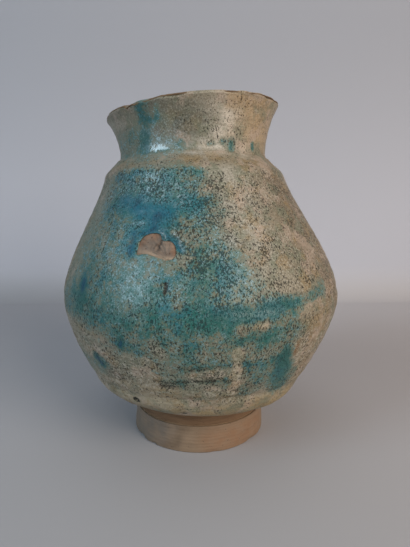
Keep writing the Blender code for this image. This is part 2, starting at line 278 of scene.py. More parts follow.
def out_of_true(x, y, z):
    """Where points of the true turned form lie on the real jar."""
    shift, slant = lean(x, z)
    return np.stack([x + shift, y, z + slant * x], axis=-1)


def on_jar(bearing, radius, height):
    """Points in millimetres from a bearing in degrees from the front, a radius and a height."""
    turn = np.radians(bearing)
    return out_of_true(radius * np.sin(turn), -radius * np.cos(turn), height)


print("lip, right side:", on_jar(90.0, LIP[0], LIP[1]).round(1))

# %% [markdown]
# A turned piece is a closed loop of rows round the axis: up the outer face, over the edge and back down
# the inner face. A screw modifier could turn one profile, but here the profile changes with the
# bearing, so the rows and the columns are laid out as arrays and joined by four-sided faces. Where a
# loop begins and ends on the axis, a single point closes each end.

# %% Ring builder
SHARP_ANGLE = math.radians(40.0)


def object_from(name, points, faces):
    """A named, smooth-shaded object from points in millimetres, with its faces turned outwards."""
    mesh = bpy.data.meshes.new(name)
    mesh.from_pydata((np.asarray(points) * MM).tolist(), [], faces)
    shell = bmesh.new()
    shell.from_mesh(mesh)
    bmesh.ops.recalc_face_normals(shell, faces=shell.faces)
    shell.to_mesh(mesh)
    shell.free()
    mesh.shade_smooth()
    mesh.set_sharp_from_angle(angle=SHARP_ANGLE)
    made = bpy.data.objects.new(name, mesh)
    bpy.context.scene.collection.objects.link(made)
    return made


def turned(name, rows, ends=None):
    """An object from an array of rows by columns of points. Without ends, the last row meets the first."""
    row_count, column_count = rows.shape[:2]
    points = rows.reshape(-1, 3).tolist()
    faces = []
    for row in range(row_count if ends is None else row_count - 1):
        here = row * column_count
        above = (row + 1) % row_count * column_count
        for column in range(column_count):
            after = (column + 1) % column_count
            faces.append((here + column, here + after, above + after, above + column))
    if ends is not None:
        for row, end in ((0, ends[0]), (row_count - 1, ends[1])):
            middle = len(points)
            points.append(list(end))
            here = row * column_count
            faces.extend((middle, here + c, here + (c + 1) % column_count) for c in range(column_count))
    return object_from(name, points, faces)


def bearings(columns):
    """Evenly spaced bearings all the way round, in degrees."""
    return np.arange(columns) * 360.0 / columns - 180.0


print("bearings of a ring of four columns:", bearings(4))

# %% [markdown]
# Clay and glaze are never quite even. Smooth random lumps of several sizes give that, the way a hand, a
# wet sponge and a run of glaze leave it. Blender's own noise function is sampled at each point in
# space, so the lumps join up all the way round the jar, and a fixed offset for each use keeps them
# different and the same in every run. Waves, bumps and dents are the other marks that most pieces
# share, so each is one small function here.

# %% Lumps
LUMP_OFFSET = Vector((13.7, 41.3, 7.9))


def lumps(points, size, seed):
    """Smooth random heights from about -1 to 1 at points in millimetres, with lumps of a size."""
    offset = LUMP_OFFSET * seed
    flat = np.asarray(points).reshape(-1, 3) / size
    heights = [noise.noise(Vector(point) + offset) for point in flat]
    return np.array(heights).reshape(np.shape(points)[:-1])


def hump(distance, reach):
    """A soft rise of 1 that falls away over a reach."""
    return np.exp(-((distance / reach) ** 2))


def apart(bearing, other):
    """How far one bearing is from another, in degrees, the short way round."""
    return (bearing - other + 180.0) % 360.0 - 180.0


def lump_layers(points, layers, seed):
    """The sum of lumps of several sizes, each with its own height."""
    return sum(height * lumps(points, size, seed + step) for step, (size, height) in enumerate(layers))


def waves(bearing, rows):
    """The sum of waves round the jar, each a height, a number of crests and a start."""
    return sum(height * np.sin(crests * np.radians(bearing) + start) for height, crests, start in rows)


def bumps(bearing, rows):
    """The sum of soft bumps round the jar, each a bearing, a spread in degrees and a height."""
    return sum(height * hump(apart(bearing, middle), spread) for middle, spread, height in rows)


def dents(bearing, radius, height, rows):
    """The sum of soft dents, each a bearing, a height, a half width, a half height and a depth."""
    depths = 0.0
    for middle, level, half_width, half_height, depth in rows:
        across = np.radians(apart(bearing, middle)) * radius / half_width
        depths = depths + depth * np.exp(-(across**2) - ((height - level) / half_height) ** 2)
    return depths


print("lumps a size apart:", lumps([(0.5, 0.5, 0.5), (1.5, 0.5, 0.5)], 1.0, 1).round(2))

# %% [markdown]
# The broken lug. A lug or a handle once sat on the shoulder and snapped off, and its root is a
# heart-shaped scar of bare clay. Its edge is a smooth closed line through listed points, given as
# millimetres across and up from the middle of the scar. The same line cuts the hole in the glaze and
# bounds the scar, so the two always fit.

# %% Edge of the lug scar
LUG_BEARING = -15.5
LUG_HEIGHT = 93.6
LUG_EDGE = np.array((
    (-7.7, -2.7),
    (-7.5, -0.3),
    (-7.0, 2.0),
    (-5.6, 3.8),
    (-3.2, 4.8),
    (-0.4, 5.0),
    (1.0, 4.4),
    (1.7, 2.7),
    (3.0, 2.3),
    (4.5, 2.3),
    (6.2, 1.1),
    (7.0, -0.8),
    (7.0, -2.7),
    (5.9, -4.1),
    (3.6, -4.5),
    (1.0, -3.8),
    (-1.7, -2.9),
    (-4.6, -2.5),
))
LUG_EDGE_STEPS = 8
CLAY_DEPTH = 1.1
CLAY = Line(OUTLINE.moved(-CLAY_DEPTH))


def lug_edge():
    """The scar's edge as a dense closed line."""
    count = len(LUG_EDGE)
    line = []
    for index in range(count):
        before, here, after, beyond = (LUG_EDGE[(index + step) % count] for step in (-1, 0, 1, 2))
        line.append(bend(here, (after - before) / 6, (here - beyond) / 6, after, LUG_EDGE_STEPS + 1)[:-1])
    return np.vstack(line)


def lug_flat(bearing, height):
    """Places on the jar as millimetres across and up from the middle of the scar."""
    radius, _ = CLAY.at(CLAY.length_at(height))
    return np.stack([np.radians(apart(bearing, LUG_BEARING)) * radius, height - LUG_HEIGHT], axis=-1)


def on_lug(flat, off):
    """Points over the shoulder, from places across and up the scar and a height off the clay."""
    radius, height = CLAY.at(CLAY.length_at(LUG_HEIGHT + flat[..., 1]))
    return on_jar(LUG_BEARING + np.degrees(flat[..., 0] / radius), radius + off, height)


def from_line(flat, line):
    """The distance of each place from the nearest point of a line."""
    gaps = flat[..., None, :] - line
    return np.sqrt((gaps**2).sum(axis=-1)).min(axis=-1)


SCAR_EDGE = lug_edge()
print("scar edge points:", len(SCAR_EDGE))

# %% [markdown]
# The glaze coat is the skin of the jar and nearly everything that the camera sees. Under its colour it
# has a real relief, and that is modelled, not painted: faint throwing rings, the crease where the two
# bowls meet, the roll of slip under the neck with its wavy upper edge, and the roll and the fold along
# the bowl's lower edge. Each is a height in millimetres over bearing and height.

# %% Rings, crease and rolls
RING_STEP = 4.6
RING_HEIGHT = 0.07
RING_WANDER = 2.0
RING_FADE = 0.6
CREASE_HEIGHT = 70.5
CREASE_WAVES = ((2.6, 1, 0.2), (0.5, 4, 0.0))
ROLL_LOW = 120.8
ROLL_EDGE = 128.9
ROLL_STEP = 0.35
ROLL_STAND = 0.6
ROLL_BUMPS = ((-15.0, 13.0, 1.7), (-48.0, 16.0, -1.0))
ROLL_WAVES = ((0.35, 3, 0.6), (0.25, 7, 0.0))
RIM_ROLL = 0.6
RIM_ROLL_HEIGHT = 28.6
RIM_ROLL_REACH = 3.0
RIM_FOLD = 0.45
RIM_FOLD_HEIGHT = 34.2
RIM_FOLD_REACH = 1.5
RIM_WAVE = 1.5
RIM_UNEVEN = 0.6


def throwing_rings(points, bearing, height):
    """The faint spiral left by the potter's fingers, stronger in some places than in others."""
    spiral = math.tau * (height / RING_STEP + bearing / 360.0)
    rings = RING_HEIGHT * np.sin(spiral + RING_WANDER * lumps(points, 30.0, 4))
    return rings * (RING_FADE + RING_FADE * lumps(points, 40.0, 5))


def crease_height(bearing):
    """The height of the crease where the upper bowl sits on the lower one."""
    return CREASE_HEIGHT + waves(bearing, CREASE_WAVES)


def roll_edge(bearing):
    """The wavy upper edge of the roll of slip under the neck, with a bump and a dip left of the front."""
    return ROLL_EDGE + bumps(bearing, ROLL_BUMPS) + waves(bearing, ROLL_WAVES)


def slip_roll(bearing, height):
    """The soft roll of slip, with a low torn step at its upper edge."""
    edge = roll_edge(bearing)
    below_edge = 1.0 - smooth(height, edge - ROLL_STEP, edge + ROLL_STEP)
    return ROLL_STAND * smooth(height, ROLL_LOW - 0.8, ROLL_LOW + 2.4) * below_edge


def rim_roll(points, height):
    """The roll that the glaze left along the bowl's lower edge, and the soft fold over it."""
    wave = RIM_WAVE * lumps(points, 16.0, 6)
    uneven = 1.0 + RIM_UNEVEN * lumps(points, 11.0, 7)
    roll = RIM_ROLL * hump(height - RIM_ROLL_HEIGHT - wave, RIM_ROLL_REACH)
    return uneven * (roll - RIM_FOLD * hump(height - RIM_FOLD_HEIGHT - wave, RIM_FOLD_REACH))


print(f"roll edge at the front: {roll_edge(0.0):.1f} mm, crease: {crease_height(0.0):.1f} mm")

# %% [markdown]
# The whole relief is the sum of these, with lumps of three sizes under them. The glaze also swelled up
# round the scar, where it ran against the lug, and in two places where a run of it came to rest.

# %% Glaze relief
COAT_LUMPS = ((24.0, 0.28), (9.0, 0.10), (3.0, 0.05))
CREASE_DEPTH = 0.32
CREASE_REACH = 2.2
SCAR_SWELL = 0.5
SCAR_SWELL_REACH = 2.4
SCAR_SWELL_LIMIT = 16.0
SWELLINGS = ((0.3, -20.0, 24.0, 105.0, 7.0), (0.2, 42.0, 30.0, 26.5, 5.0))


def coat_relief(points, bearing, height):
    """The height of the glaze's face over the plain outline."""
    relief = throwing_rings(points, bearing, height) + lump_layers(points, COAT_LUMPS, 0)
    relief -= CREASE_DEPTH * hump(height - crease_height(bearing), CREASE_REACH)
    relief += slip_roll(bearing, height)
    relief += rim_roll(points, height)
    flat = lug_flat(bearing, height)
    near = np.abs(flat).max(axis=-1) < SCAR_SWELL_LIMIT
    relief[near] += SCAR_SWELL * hump(from_line(flat[near], SCAR_EDGE), SCAR_SWELL_REACH)
    for rise, middle, spread, level, reach in SWELLINGS:
        relief += rise * hump(apart(bearing, middle), spread) * hump(height - level, reach)
    return relief


print("swellings of the coat:", len(SWELLINGS) + 1)

# %% [markdown]
# The coat's lower edge stopped running at a different height all the way round, short at the front
# left. Its upper edge is worn through just below the lip. Both edges round off into the back of the
# coat, so it ends as a real layer of glaze does, and not as a sheet cut with a knife.

# %% Edges of the coat
RUN_LOW = 19.0
RUN_BUMPS = ((-48.0, 26.0, 2.0),)
RUN_WAVES = ((0.35, 5, 1.1), (0.35, 9, 0.0))
COAT_HIGH = 149.6
WORN_WAVES = ((0.25, 4, 0.5), (0.2, 11, 0.0), (0.15, 23, 2.0))


def run_edge(bearing):
    """The height at which the coat's lower edge stopped running."""
    return RUN_LOW + bumps(bearing, RUN_BUMPS) + waves(bearing, RUN_WAVES)


def worn_edge(bearing):
    """The height at which the coat is worn through below the lip."""
    return COAT_HIGH + waves(bearing, WORN_WAVES)


def round_off(distance, reach):
    """How far a face has sunk towards its back at a distance from an edge: 1 at the edge, then 0."""
    share = np.clip(1.0 - distance / reach, 0.0, 1.0)
    return 1.0 - np.sqrt(1.0 - share**2)


print(f"at the front the coat runs from {run_edge(0.0):.1f} to {worn_edge(0.0):.1f} mm")

# %% [markdown]
# The coat itself is one closed ring: its face goes up from the run edge to the worn edge, and its back
# comes down again on the clay. The columns lie closer together at the front, which the camera sees, and
# the rows at the two edges, which bend most. The widest burst bubbles are dented into the face.

# %% Glaze coat
COAT_COLUMNS = 400
COAT_ROWS = 190
COAT_BACK_ROWS = 40
FRONT_CROWDING = 0.4
EDGE_CROWDING = 0.035
COAT_THICKNESS = 0.85
COAT_THINNEST = 0.15
RUN_ROUND = 1.1
WORN_ROUND = 0.6
BURST_PITS = (
    (-11.5, 80.0, 0.9, 2.2, 0.8),
    (-30.4, 30.6, 1.3, 1.0, 0.8),
    (-7.0, 27.2, 1.4, 0.9, 0.7),
    (21.5, 76.2, 0.9, 0.9, 0.4),
    (18.5, 76.6, 0.8, 0.8, 0.4),
    (27.0, 116.5, 0.8, 0.8, 0.4),
    (8.0, 101.5, 0.8, 1.5, 0.4),
)


def coat_face(bearing, low, high):
    """The rows of the coat's outer face, from its run edge up to its worn edge."""
    share = np.linspace(0.0, 1.0, COAT_ROWS)[:, None]
    share = share - EDGE_CROWDING * np.sin(math.tau * share)
    length = low + share * (high - low)
    every = np.broadcast_to(bearing, length.shape)
    radius, height = OUTLINE.at(length)
    relief = coat_relief(on_jar(every, radius, height), every, height)
    relief -= dents(every, radius, height, BURST_PITS)
    ends = np.maximum(round_off(length - low, RUN_ROUND), round_off(high - length, WORN_ROUND))
    relief = np.maximum(relief, COAT_THINNEST - COAT_THICKNESS) * (1.0 - ends) - COAT_THICKNESS * ends
    return on_jar(every, *OUTLINE.at(length, relief))


def coat_back(bearing, low, high):
    """The rows of the coat's back, from the worn edge down to the run edge."""
    share = np.linspace(1.0, 0.0, COAT_BACK_ROWS)[1:-1, None]
    length = low + share * (high - low)
    return on_jar(np.broadcast_to(bearing, length.shape), *OUTLINE.at(length, -COAT_THICKNESS))


def glaze_coat():
    """The coat as one closed ring."""
    bearing = bearings(COAT_COLUMNS)
    bearing = bearing - FRONT_CROWDING * np.degrees(np.sin(np.radians(bearing)))
    low = OUTLINE.length_at(run_edge(bearing))
    high = OUTLINE.length_at(worn_edge(bearing))
    rows = [part(bearing, low, high) for part in (coat_face, coat_back)]
    return turned("glaze_coat", np.concatenate(rows))


coat = glaze_coat()
print("glaze coat faces:", len(coat.data.polygons))

# %% [markdown]
# The hole for the scar is cut through the coat with a boolean, because the broken glaze has a sharp
# edge there. The cutter is a pad in the shape of the scar, drawn in by a hair, so that the glaze laps
# onto the torn clay and no gap shows.

# %% Hole in the glaze
HOLE_LAP = 0.15
HOLE_LOW = -0.5
HOLE_TOP = 7.0
SCAR_RINGS = 22


def pad(name, edge, low, top):
    """A closed pad over the shoulder with an edge round it, between a low face and a top face."""
    shares = np.linspace(0.0, 1.0, SCAR_RINGS + 1)[1:]
    flats = shares[:, None, None] * edge
    under, over = (on_lug(flats, height_at(flats)) for height_at in (low, top))
    middle = np.zeros((1, 2))
    ends = [on_lug(middle, height_at(middle))[0] for height_at in (low, top)]
    return turned(name, np.concatenate([under, over[::-1]]), ends)


def cut_hole(target, edge):
    """Takes the scar's shape out of the coat."""
    cutter = pad("hole_cutter", edge, lambda flat: HOLE_LOW, lambda flat: HOLE_TOP)
    cut = target.modifiers.new("scar_hole", "BOOLEAN")
    cut.operation = "DIFFERENCE"
    cut.solver = "EXACT"
    cut.object = cutter
    view = bpy.context.evaluated_depsgraph_get()
    finished = bpy.data.meshes.new_from_object(target.evaluated_get(view))
    target.modifiers.clear()
    target.data = finished
    bpy.data.objects.remove(cutter)


HOLE_EDGE = SCAR_EDGE * (1.0 - HOLE_LAP / np.linalg.norm(SCAR_EDGE, axis=1))[:, None]
cut_hole(coat, HOLE_EDGE)
print("glaze coat faces with its hole:", len(coat.data.polygons))

# %% [markdown]
# The scar itself is torn clay. A pale ridge runs along its lower edge, a dark cleft drops from the
# notch of the heart, and fine torn lines fan out to the left of it. All of these are heights over the
# flat pad, with small lumps on top, so that the light picks them out from any side.

# %% Lug scar
SCAR_BED = 0.3
SCAR_STAND = 1.5
SCAR_LUMPS = ((2.6, 0.16), (0.9, 0.10))
SCAR_RIDGE = np.array((
    (-6.6, -1.9),
    (-4.1, -1.8),
    (-1.5, -2.1),
    (0.6, -2.6),
    (2.6, -3.3),
    (4.6, -3.7),
    (6.2, -3.4),
))
SCAR_RIDGE_RISE = 0.38
SCAR_RIDGE_REACH = 0.75
SCAR_CLEFT = np.array(((1.3, 2.2), (0.9, 1.2), (0.2, 0.4), (0.5, -0.3), (-0.2, -0.9)))
SCAR_CLEFT_DEPTH = 0.55
SCAR_CLEFT_REACH = 0.45
SCAR_DISH = (-2.4, 0.9)
SCAR_DISH_DEPTH = 0.30
SCAR_DISH_REACH = (2.6, 2.2)
TEAR_FROM = (3.6, -3.4)
TEAR_LINES = 9.0
TEAR_STRETCH = 0.3
TEAR_RISE = 0.34
SCAR_EDGE_DROP = 0.35


def dense(points, steps=12):
    """Points filled in along a broken line."""
    along = np.arange(len(points))
    fine = np.linspace(0, len(points) - 1, steps * (len(points) - 1) + 1)
    return np.stack([np.interp(fine, along, points[:, axis]) for axis in (0, 1)], axis=-1)


def torn_lines(flat):
    """Fine torn lines that fan out from the lower right of the scar."""
    across, up = flat[..., 0] - TEAR_FROM[0], flat[..., 1] - TEAR_FROM[1]
    fan = np.arctan2(up, across)
    stretched = np.stack([TEAR_LINES * fan, TEAR_STRETCH * np.hypot(across, up), 0.0 * fan], axis=-1)
    return TEAR_RISE * lumps(stretched, 1.0, 13)


def scar_height(flat):
    """The torn face of the scar, as a height off the clay."""
    deep = np.concatenate([flat, np.zeros((*flat.shape[:-1], 1))], axis=-1)
    rise = SCAR_STAND + lump_layers(deep, SCAR_LUMPS, 11)
    rise += SCAR_RIDGE_RISE * hump(from_line(flat, dense(SCAR_RIDGE)), SCAR_RIDGE_REACH)
    rise -= SCAR_CLEFT_DEPTH * hump(from_line(flat, dense(SCAR_CLEFT)), SCAR_CLEFT_REACH)
    dish = [hump(flat[..., axis] - SCAR_DISH[axis], SCAR_DISH_REACH[axis]) for axis in (0, 1)]
    rise -= SCAR_DISH_DEPTH * dish[0] * dish[1]
    return rise + torn_lines(flat)


def scar_face(flat):
    """The torn face, which drops towards the edge of the scar."""
    share = np.linalg.norm(flat, axis=-1) / np.linalg.norm(SCAR_EDGE, axis=-1).mean()
    return scar_height(flat) - SCAR_EDGE_DROP * smooth(share, 0.9, 1.35)


scar = pad("lug_scar", SCAR_EDGE, lambda flat: SCAR_BED, scar_face)
print("lug scar faces:", len(scar.data.polygons))

# %% [markdown]
# The neck is a thrown tube with a flared lip. Only its bare lip shows: a thin worn edge, broken by a
# notch and a longer chip at the front left. The rest of the neck is in the packed part's place behind
# the glaze, with the groove that sits on the shoulder. Its section is drawn as one closed line, with
# closer rows near the lip.

# %% Section of the neck
WALL_ROWS = 14
LIP_ROWS = 18
BORE_ROWS = 24
CROWN_STEPS = 16
NECK_WALL = 4.0
LIP_EDGE = 149.5
LIP_SINK = 0.35
LIP_CROWN = 0.9
SEAT_HEIGHT = 123.1
SEAT_INNER = 27.4
SEAT_OUTER = 31.4
JOINT_RISE = 2.0
JOINT_STEP = 1.4
COLLAR_TOP = 131.6
BORE = Line(OUTLINE.moved(-CLAY_DEPTH - NECK_WALL))


def neck_wall():
    """The outside of the neck as radius and height, with closer rows where it swells out to the lip."""
    lip = OUTLINE.length_at(LIP_EDGE)
    low = OUTLINE.length_at(COLLAR_TOP + 0.2)
    length = np.concatenate([np.linspace(low, lip - 3.0, WALL_ROWS), np.linspace(lip - 2.8, lip, LIP_ROWS)])
    off = -CLAY_DEPTH + (CLAY_DEPTH - LIP_SINK) * smooth(length, lip - 0.9, lip - 0.1)
    return np.stack(OUTLINE.at(length, off), axis=-1)


def neck_profile():
    """The neck's section: up the outside from the collar, over the lip, down the bore, round its seat."""
    wall = neck_wall()
    bore_length = np.linspace(BORE.length_at(wall[-1, 1]), BORE.length_at(NECK_FOOT[1]), BORE_ROWS)
    bore = np.stack(BORE.at(bore_length), axis=-1)
    turn = np.linspace(0.0, math.pi, CROWN_STEPS)[1:-1]
    middle = (wall[-1] + bore[0]) / 2
    half = (wall[-1, 0] - bore[0, 0]) / 2
    crown = np.stack([middle[0] + half * np.cos(turn), middle[1] + LIP_CROWN * np.sin(turn)], axis=-1)
    seat = SEAT_HEIGHT + JOINT_STEP
    crest = ((SEAT_INNER + SEAT_OUTER) / 2, seat + JOINT_RISE)
    foot = (SEAT_INNER, seat), crest, (SEAT_OUTER, seat), (SEAT_OUTER, COLLAR_TOP)
    return np.concatenate([wall, crown, bore, np.array(foot)])


print("points of the neck's section:", len(neck_profile()))

# %% [markdown]
# The lip is worn softly all round and bitten by listed chips whose bottoms are rough. The section
# is turned into a ring first, and a function then says how far each point moves out and up, which the
# foot and the bowl can share.

# %% Neck with its chipped lip
NECK_COLUMNS = 640
LIP_LUMPS = ((7.0, 0.16), (1.8, 0.10))
LIP_GRAIN = 0.08
LIP_BAND = (-2.6, 0.3)
BITE_BAND = (34.5, 38.0)
BITE_ROUGHNESS = 0.5
LIP_BITES = (
    (-41.8, 1.1, 1.25),
    (-35.5, 4.2, 0.75),
    (-28.0, 3.5, 0.55),
    (-23.0, 1.6, 0.35),
    (36.0, 1.0, 0.3),
    (64.0, 2.2, 0.5),
    (118.0, 3.0, 0.6),
    (-140.0, 2.4, 0.7),
    (-96.0, 1.4, 0.4),
)


def ring_of(name, profile, columns, moved, ends=None):
    """A turned piece from one section, with each point moved outwards and up as a function says."""
    every = np.broadcast_to(bearings(columns), (len(profile), columns))
    radius = np.repeat(profile[:, :1], columns, axis=1)
    height = np.repeat(profile[:, 1:], columns, axis=1)
    out, up = moved(on_jar(every, radius, height), every, radius, height)
    return turned(name, on_jar(every, radius + out, height + up), ends)


def lip_drop(plain, bearing, radius):
    """How far the lip is lowered: softly all round, and by the bites."""
    drop = lump_layers(plain, LIP_LUMPS, 21)
    ragged = 1.0 + BITE_ROUGHNESS * lumps(plain, 1.1, 23)
    outer = smooth(radius, *BITE_BAND)
    for bite_bearing, half_width, depth in LIP_BITES:
        across = np.radians(apart(bearing, bite_bearing)) * LIP[0]
        drop = drop + depth * ragged * hump(across, half_width) * outer
    return drop


def worn_lip(plain, bearing, radius, height):
    """How the lip's wear and its bites move the neck outwards and up."""
    near_lip = smooth(height, LIP[1] + LIP_BAND[0], LIP[1] + LIP_BAND[1])
    return near_lip * LIP_GRAIN * lumps(plain, 1.4, 24), -near_lip * lip_drop(plain, bearing, radius)


neck = ring_of("neck_and_lip", neck_profile(), NECK_COLUMNS, worn_lip)
print("neck faces:", len(neck.data.polygons))

# %% [markdown]
# The lining is a thin coat of the same glaze inside. From above it shows the finger grooves of the
# throwing, which a potter leaves inside because nobody smooths there, and a small coil in the middle of
# the floor. The grooves are one spiral in the height of the lining's face.

# %% Lining
LINING_COLUMNS = 240
LINING_ROWS = 170
LINING_BACK_ROWS = 60
LINING_START = 0.6
LINING_GAP = 0.3
LINING_COAT = 0.6
LINING_HIGH = 147.8
LINING_ROUND = 1.4
LINING_LUMPS = 0.12
WALL = 5.5
FLOOR_HEIGHT = 18.4
FLOOR_EDGE_HEIGHT = 33.0
GROOVE_STEP = 7.5
GROOVE_DEPTH = 0.28
GROOVE_WANDER = 1.2
GROOVE_NECK_LOSS = 0.7


def hollow_line():
    """The inside of the clay, from the middle of the floor up to the lip, as radius and height."""
    body = OUTLINE.moved(-CLAY_DEPTH - WALL)
    edge = np.array([np.interp(FLOOR_EDGE_HEIGHT, body[:, 1], body[:, 0]), FLOOR_EDGE_HEIGHT])
    floor = bend((0.0, FLOOR_HEIGHT), (0.7 * edge[0], 0.0), (-0.1 * edge[0], -10.0), edge)
    wall = body[(body[:, 1] > FLOOR_EDGE_HEIGHT + 0.5) & (body[:, 1] < SEAT_HEIGHT - WALL)]
    seat = np.array(((SEAT_INNER, SEAT_HEIGHT), (SEAT_INNER, SEAT_HEIGHT + JOINT_STEP)))
    bore = BORE.points[(BORE.points[:, 1] > NECK_FOOT[1]) & (BORE.points[:, 1] < LIP[1] + 1.0)]
    return Line(np.concatenate([floor, wall, seat, bore]))


def finger_grooves(plain, length, bearing, height):
    """How far the lining stands out between its grooves, which are shallower in the neck."""
    spiral = math.tau * (length / GROOVE_STEP + bearing / 360.0)
    in_body = 1.0 - GROOVE_NECK_LOSS * smooth(height, SEAT_HEIGHT - 8.0, SEAT_HEIGHT)
    ridges = 0.5 + 0.5 * np.sin(spiral + GROOVE_WANDER * lumps(plain, 22.0, 31))
    return GROOVE_DEPTH * ridges * in_body + LINING_LUMPS * (1.0 + lumps(plain, 9.0, 32))


def lining():
    """The lining as a closed cup, with its face towards the hollow and its back towards the clay."""
    bearing = bearings(LINING_COLUMNS)
    top = HOLLOW.along[np.searchsorted(HOLLOW.points[:, 1], LINING_HIGH)]
    length = np.linspace(LINING_START, top, LINING_ROWS)[:, None] + 0.0 * bearing
    every = np.broadcast_to(bearing, length.shape)
    radius, height = HOLLOW.at(length)
    grooves = finger_grooves(on_jar(every, radius, height), length, every, height)
    thick = (LINING_COAT + grooves) * (1.0 - round_off(top - length, LINING_ROUND))
    face = on_jar(every, *HOLLOW.at(length, -LINING_GAP - thick))
    length = np.linspace(top, LINING_START, LINING_BACK_ROWS)[1:, None] + 0.0 * bearing
    back = on_jar(np.broadcast_to(bearing, length.shape), *HOLLOW.at(length, -LINING_GAP))
    middle = on_jar(0.0, 0.0, FLOOR_HEIGHT)
    ends = (middle + (0.0, 0.0, LINING_GAP + LINING_COAT + 0.2), middle + (0.0, 0.0, LINING_GAP))
    return turned("lining", np.concatenate([face, back]), ends)


HOLLOW = hollow_line()
inside = lining()
print("lining faces:", len(inside.data.polygons))

# %% [markdown]
# The foot ring was turned on the wheel from a slab of clay, so it has fine turning lines, soft edges, a
# few nicks where it was set down, and a hollow inside. It spreads a little towards the ground, most on
# its left. Its section has the ridge of the joint on top, and a function moves its side in and out.

# %% Foot ring
FOOT_COLUMNS = 420
FOOT_RADIUS = 31.5
FOOT_INNER = 23.0
FOOT_FLARE = 1.6
FOOT_RIM = 12.3
FOOT_SOFT_LOW = 0.8
FOOT_SOFT_TOP = 0.55
FOOT_SPREAD = 0.5
FOOT_SPREAD_LEFT = ((-90.0, 60.0, 0.35),)
FOOT_LUMPS = ((13.0, 0.22), (3.0, 0.06))
FOOT_LINE_STEP = 1.5
FOOT_LINE_HEIGHT = 0.05
FOOT_LINE_WANDER = 1.5
FOOT_NICKS = (
    (-58.0, 0.3, 2.6, 0.9, 0.8),
    (-41.0, 0.2, 1.4, 0.9, 0.5),
    (12.0, 0.2, 1.8, 0.9, 0.35),
    (49.0, 0.2, 3.0, 0.9, 0.5),
    (-20.0, 11.0, 1.3, 0.9, 0.3),
    (96.0, 0.2, 2.6, 0.9, 0.6),
    (170.0, 0.3, 3.4, 0.9, 0.7),
    (-122.0, 11.0, 2.2, 0.9, 0.5),
)


def corner(middle, radius, first, last, steps=8):
    """A rounded corner of a section, as part of a circle between two angles in degrees."""
    turn = np.radians(np.linspace(first, last, steps))
    return np.stack([middle[0] + radius * np.cos(turn), middle[1] + radius * np.sin(turn)], axis=-1)


def steps_between(start, end, count):
    """Evenly spaced points of a straight stretch of a section, without its ends."""
    share = np.linspace(0.0, 1.0, count + 2)[1:-1, None]
    return (1.0 - share) * np.array(start) + share * np.array(end)


def foot_profile():
    """The foot ring's section: up the outside, over the ridge of its joint and down the flared inside."""
    low = corner((FOOT_RADIUS - FOOT_SOFT_LOW, FOOT_SOFT_LOW), FOOT_SOFT_LOW, -90.0, 0.0)
    high = corner((FOOT_RADIUS - FOOT_SOFT_TOP, FOOT_RIM - FOOT_SOFT_TOP), FOOT_SOFT_TOP, 0.0, 90.0)
    side = steps_between(low[-1], high[0], 26)
    crest = ((STEM_TOP[0] + FOOT_INNER) / 2, FOOT_HEIGHT + JOINT_RISE)
    inner_low = np.array((FOOT_INNER + FOOT_FLARE, 0.0))
    inner_high = np.array((FOOT_INNER, FOOT_HEIGHT))
    bore = steps_between(inner_high, inner_low, 14)
    face = steps_between(inner_low + (0.6, 0.0), low[0], 6)
    rim = STEM_TOP[0] + 0.2
    ridge = (rim, FOOT_RIM), (rim, FOOT_HEIGHT), (STEM_TOP[0] - 0.4, FOOT_HEIGHT), crest, inner_high
    return np.concatenate([low, side, high, np.array(ridge), bore, [inner_low + (0.0, 0.4)], face])


def worn_foot(plain, bearing, radius, height):
    """Turning lines, soft lumps and nicks on the foot's side, which spreads towards the ground."""
    outer = smooth(radius, FOOT_RADIUS - 1.6, FOOT_RADIUS - 0.4)
    wander = FOOT_LINE_WANDER * lumps(plain, 14.0, 41)
    out = FOOT_LINE_HEIGHT * np.sin(math.tau * height / FOOT_LINE_STEP + wander)
    out += lump_layers(plain, FOOT_LUMPS, 42) - dents(bearing, FOOT_RADIUS, height, FOOT_NICKS)
    spread = FOOT_SPREAD + bumps(bearing, FOOT_SPREAD_LEFT)
    out += spread * (1.0 - smooth(height, 0.0, FOOT_RIM))
    return out * outer, 0.0


foot = ring_of("foot", foot_profile(), FOOT_COLUMNS, worn_foot)
print("foot faces:", len(foot.data.polygons))

# %% [markdown]
# The bowl carries the belly, and its bare stem shows between the run edge of the glaze and the foot
# ring. Its section follows the clay under the coat and the hollow inside, with the groove and the ridge
# of its two joints, and only the stem gets turning lines.

# %% Bowl with its bare stem
BOWL_COLUMNS = 240
BASE_DOME = 1.2
BASE_FLAT = 6.0
STEM_LINE_STEP = 1.3
STEM_LINE_HEIGHT = 0.07
STEM_LUMPS = 0.12


def bowl_profile():
    """The bowl's section, from under its base up the stem and the wall, and back down inside."""
    groove = FOOT_HEIGHT + JOINT_STEP
    crest = ((STEM_TOP[0] + FOOT_INNER) / 2, groove + JOINT_RISE)
    under = np.array(((BASE_FLAT, groove + BASE_DOME), (FOOT_INNER, groove), crest, (STEM_TOP[0], groove)))
    clay = CLAY.points[CLAY.points[:, 1] < BELLY[1] - 0.2]
    stem = steps_between(under[-1], clay[0], 12)
    ridge = np.array(((BELLY[0] - CLAY_DEPTH - WALL / 2, BELLY[1] + JOINT_RISE - 0.2),))
    hollow = HOLLOW.points[(HOLLOW.points[:, 1] < BELLY[1] - 0.2) & (HOLLOW.points[:, 0] > 0.5)]
    return np.concatenate([under, stem, clay[::4], ridge, hollow[::-3]])


def turned_stem(plain, _, radius, height):
    """Turning lines on the bare stem. The bowl stays plain where glaze covers it."""
    bare = smooth(height, 12.6, 13.6) * (1.0 - smooth(height, 19.0, 21.0)) * smooth(radius, 28.0, 29.0)
    lines = STEM_LINE_HEIGHT * np.sin(math.tau * height / STEM_LINE_STEP)
    return bare * (lines + STEM_LUMPS * lumps(plain, 8.0, 51)), 0.0


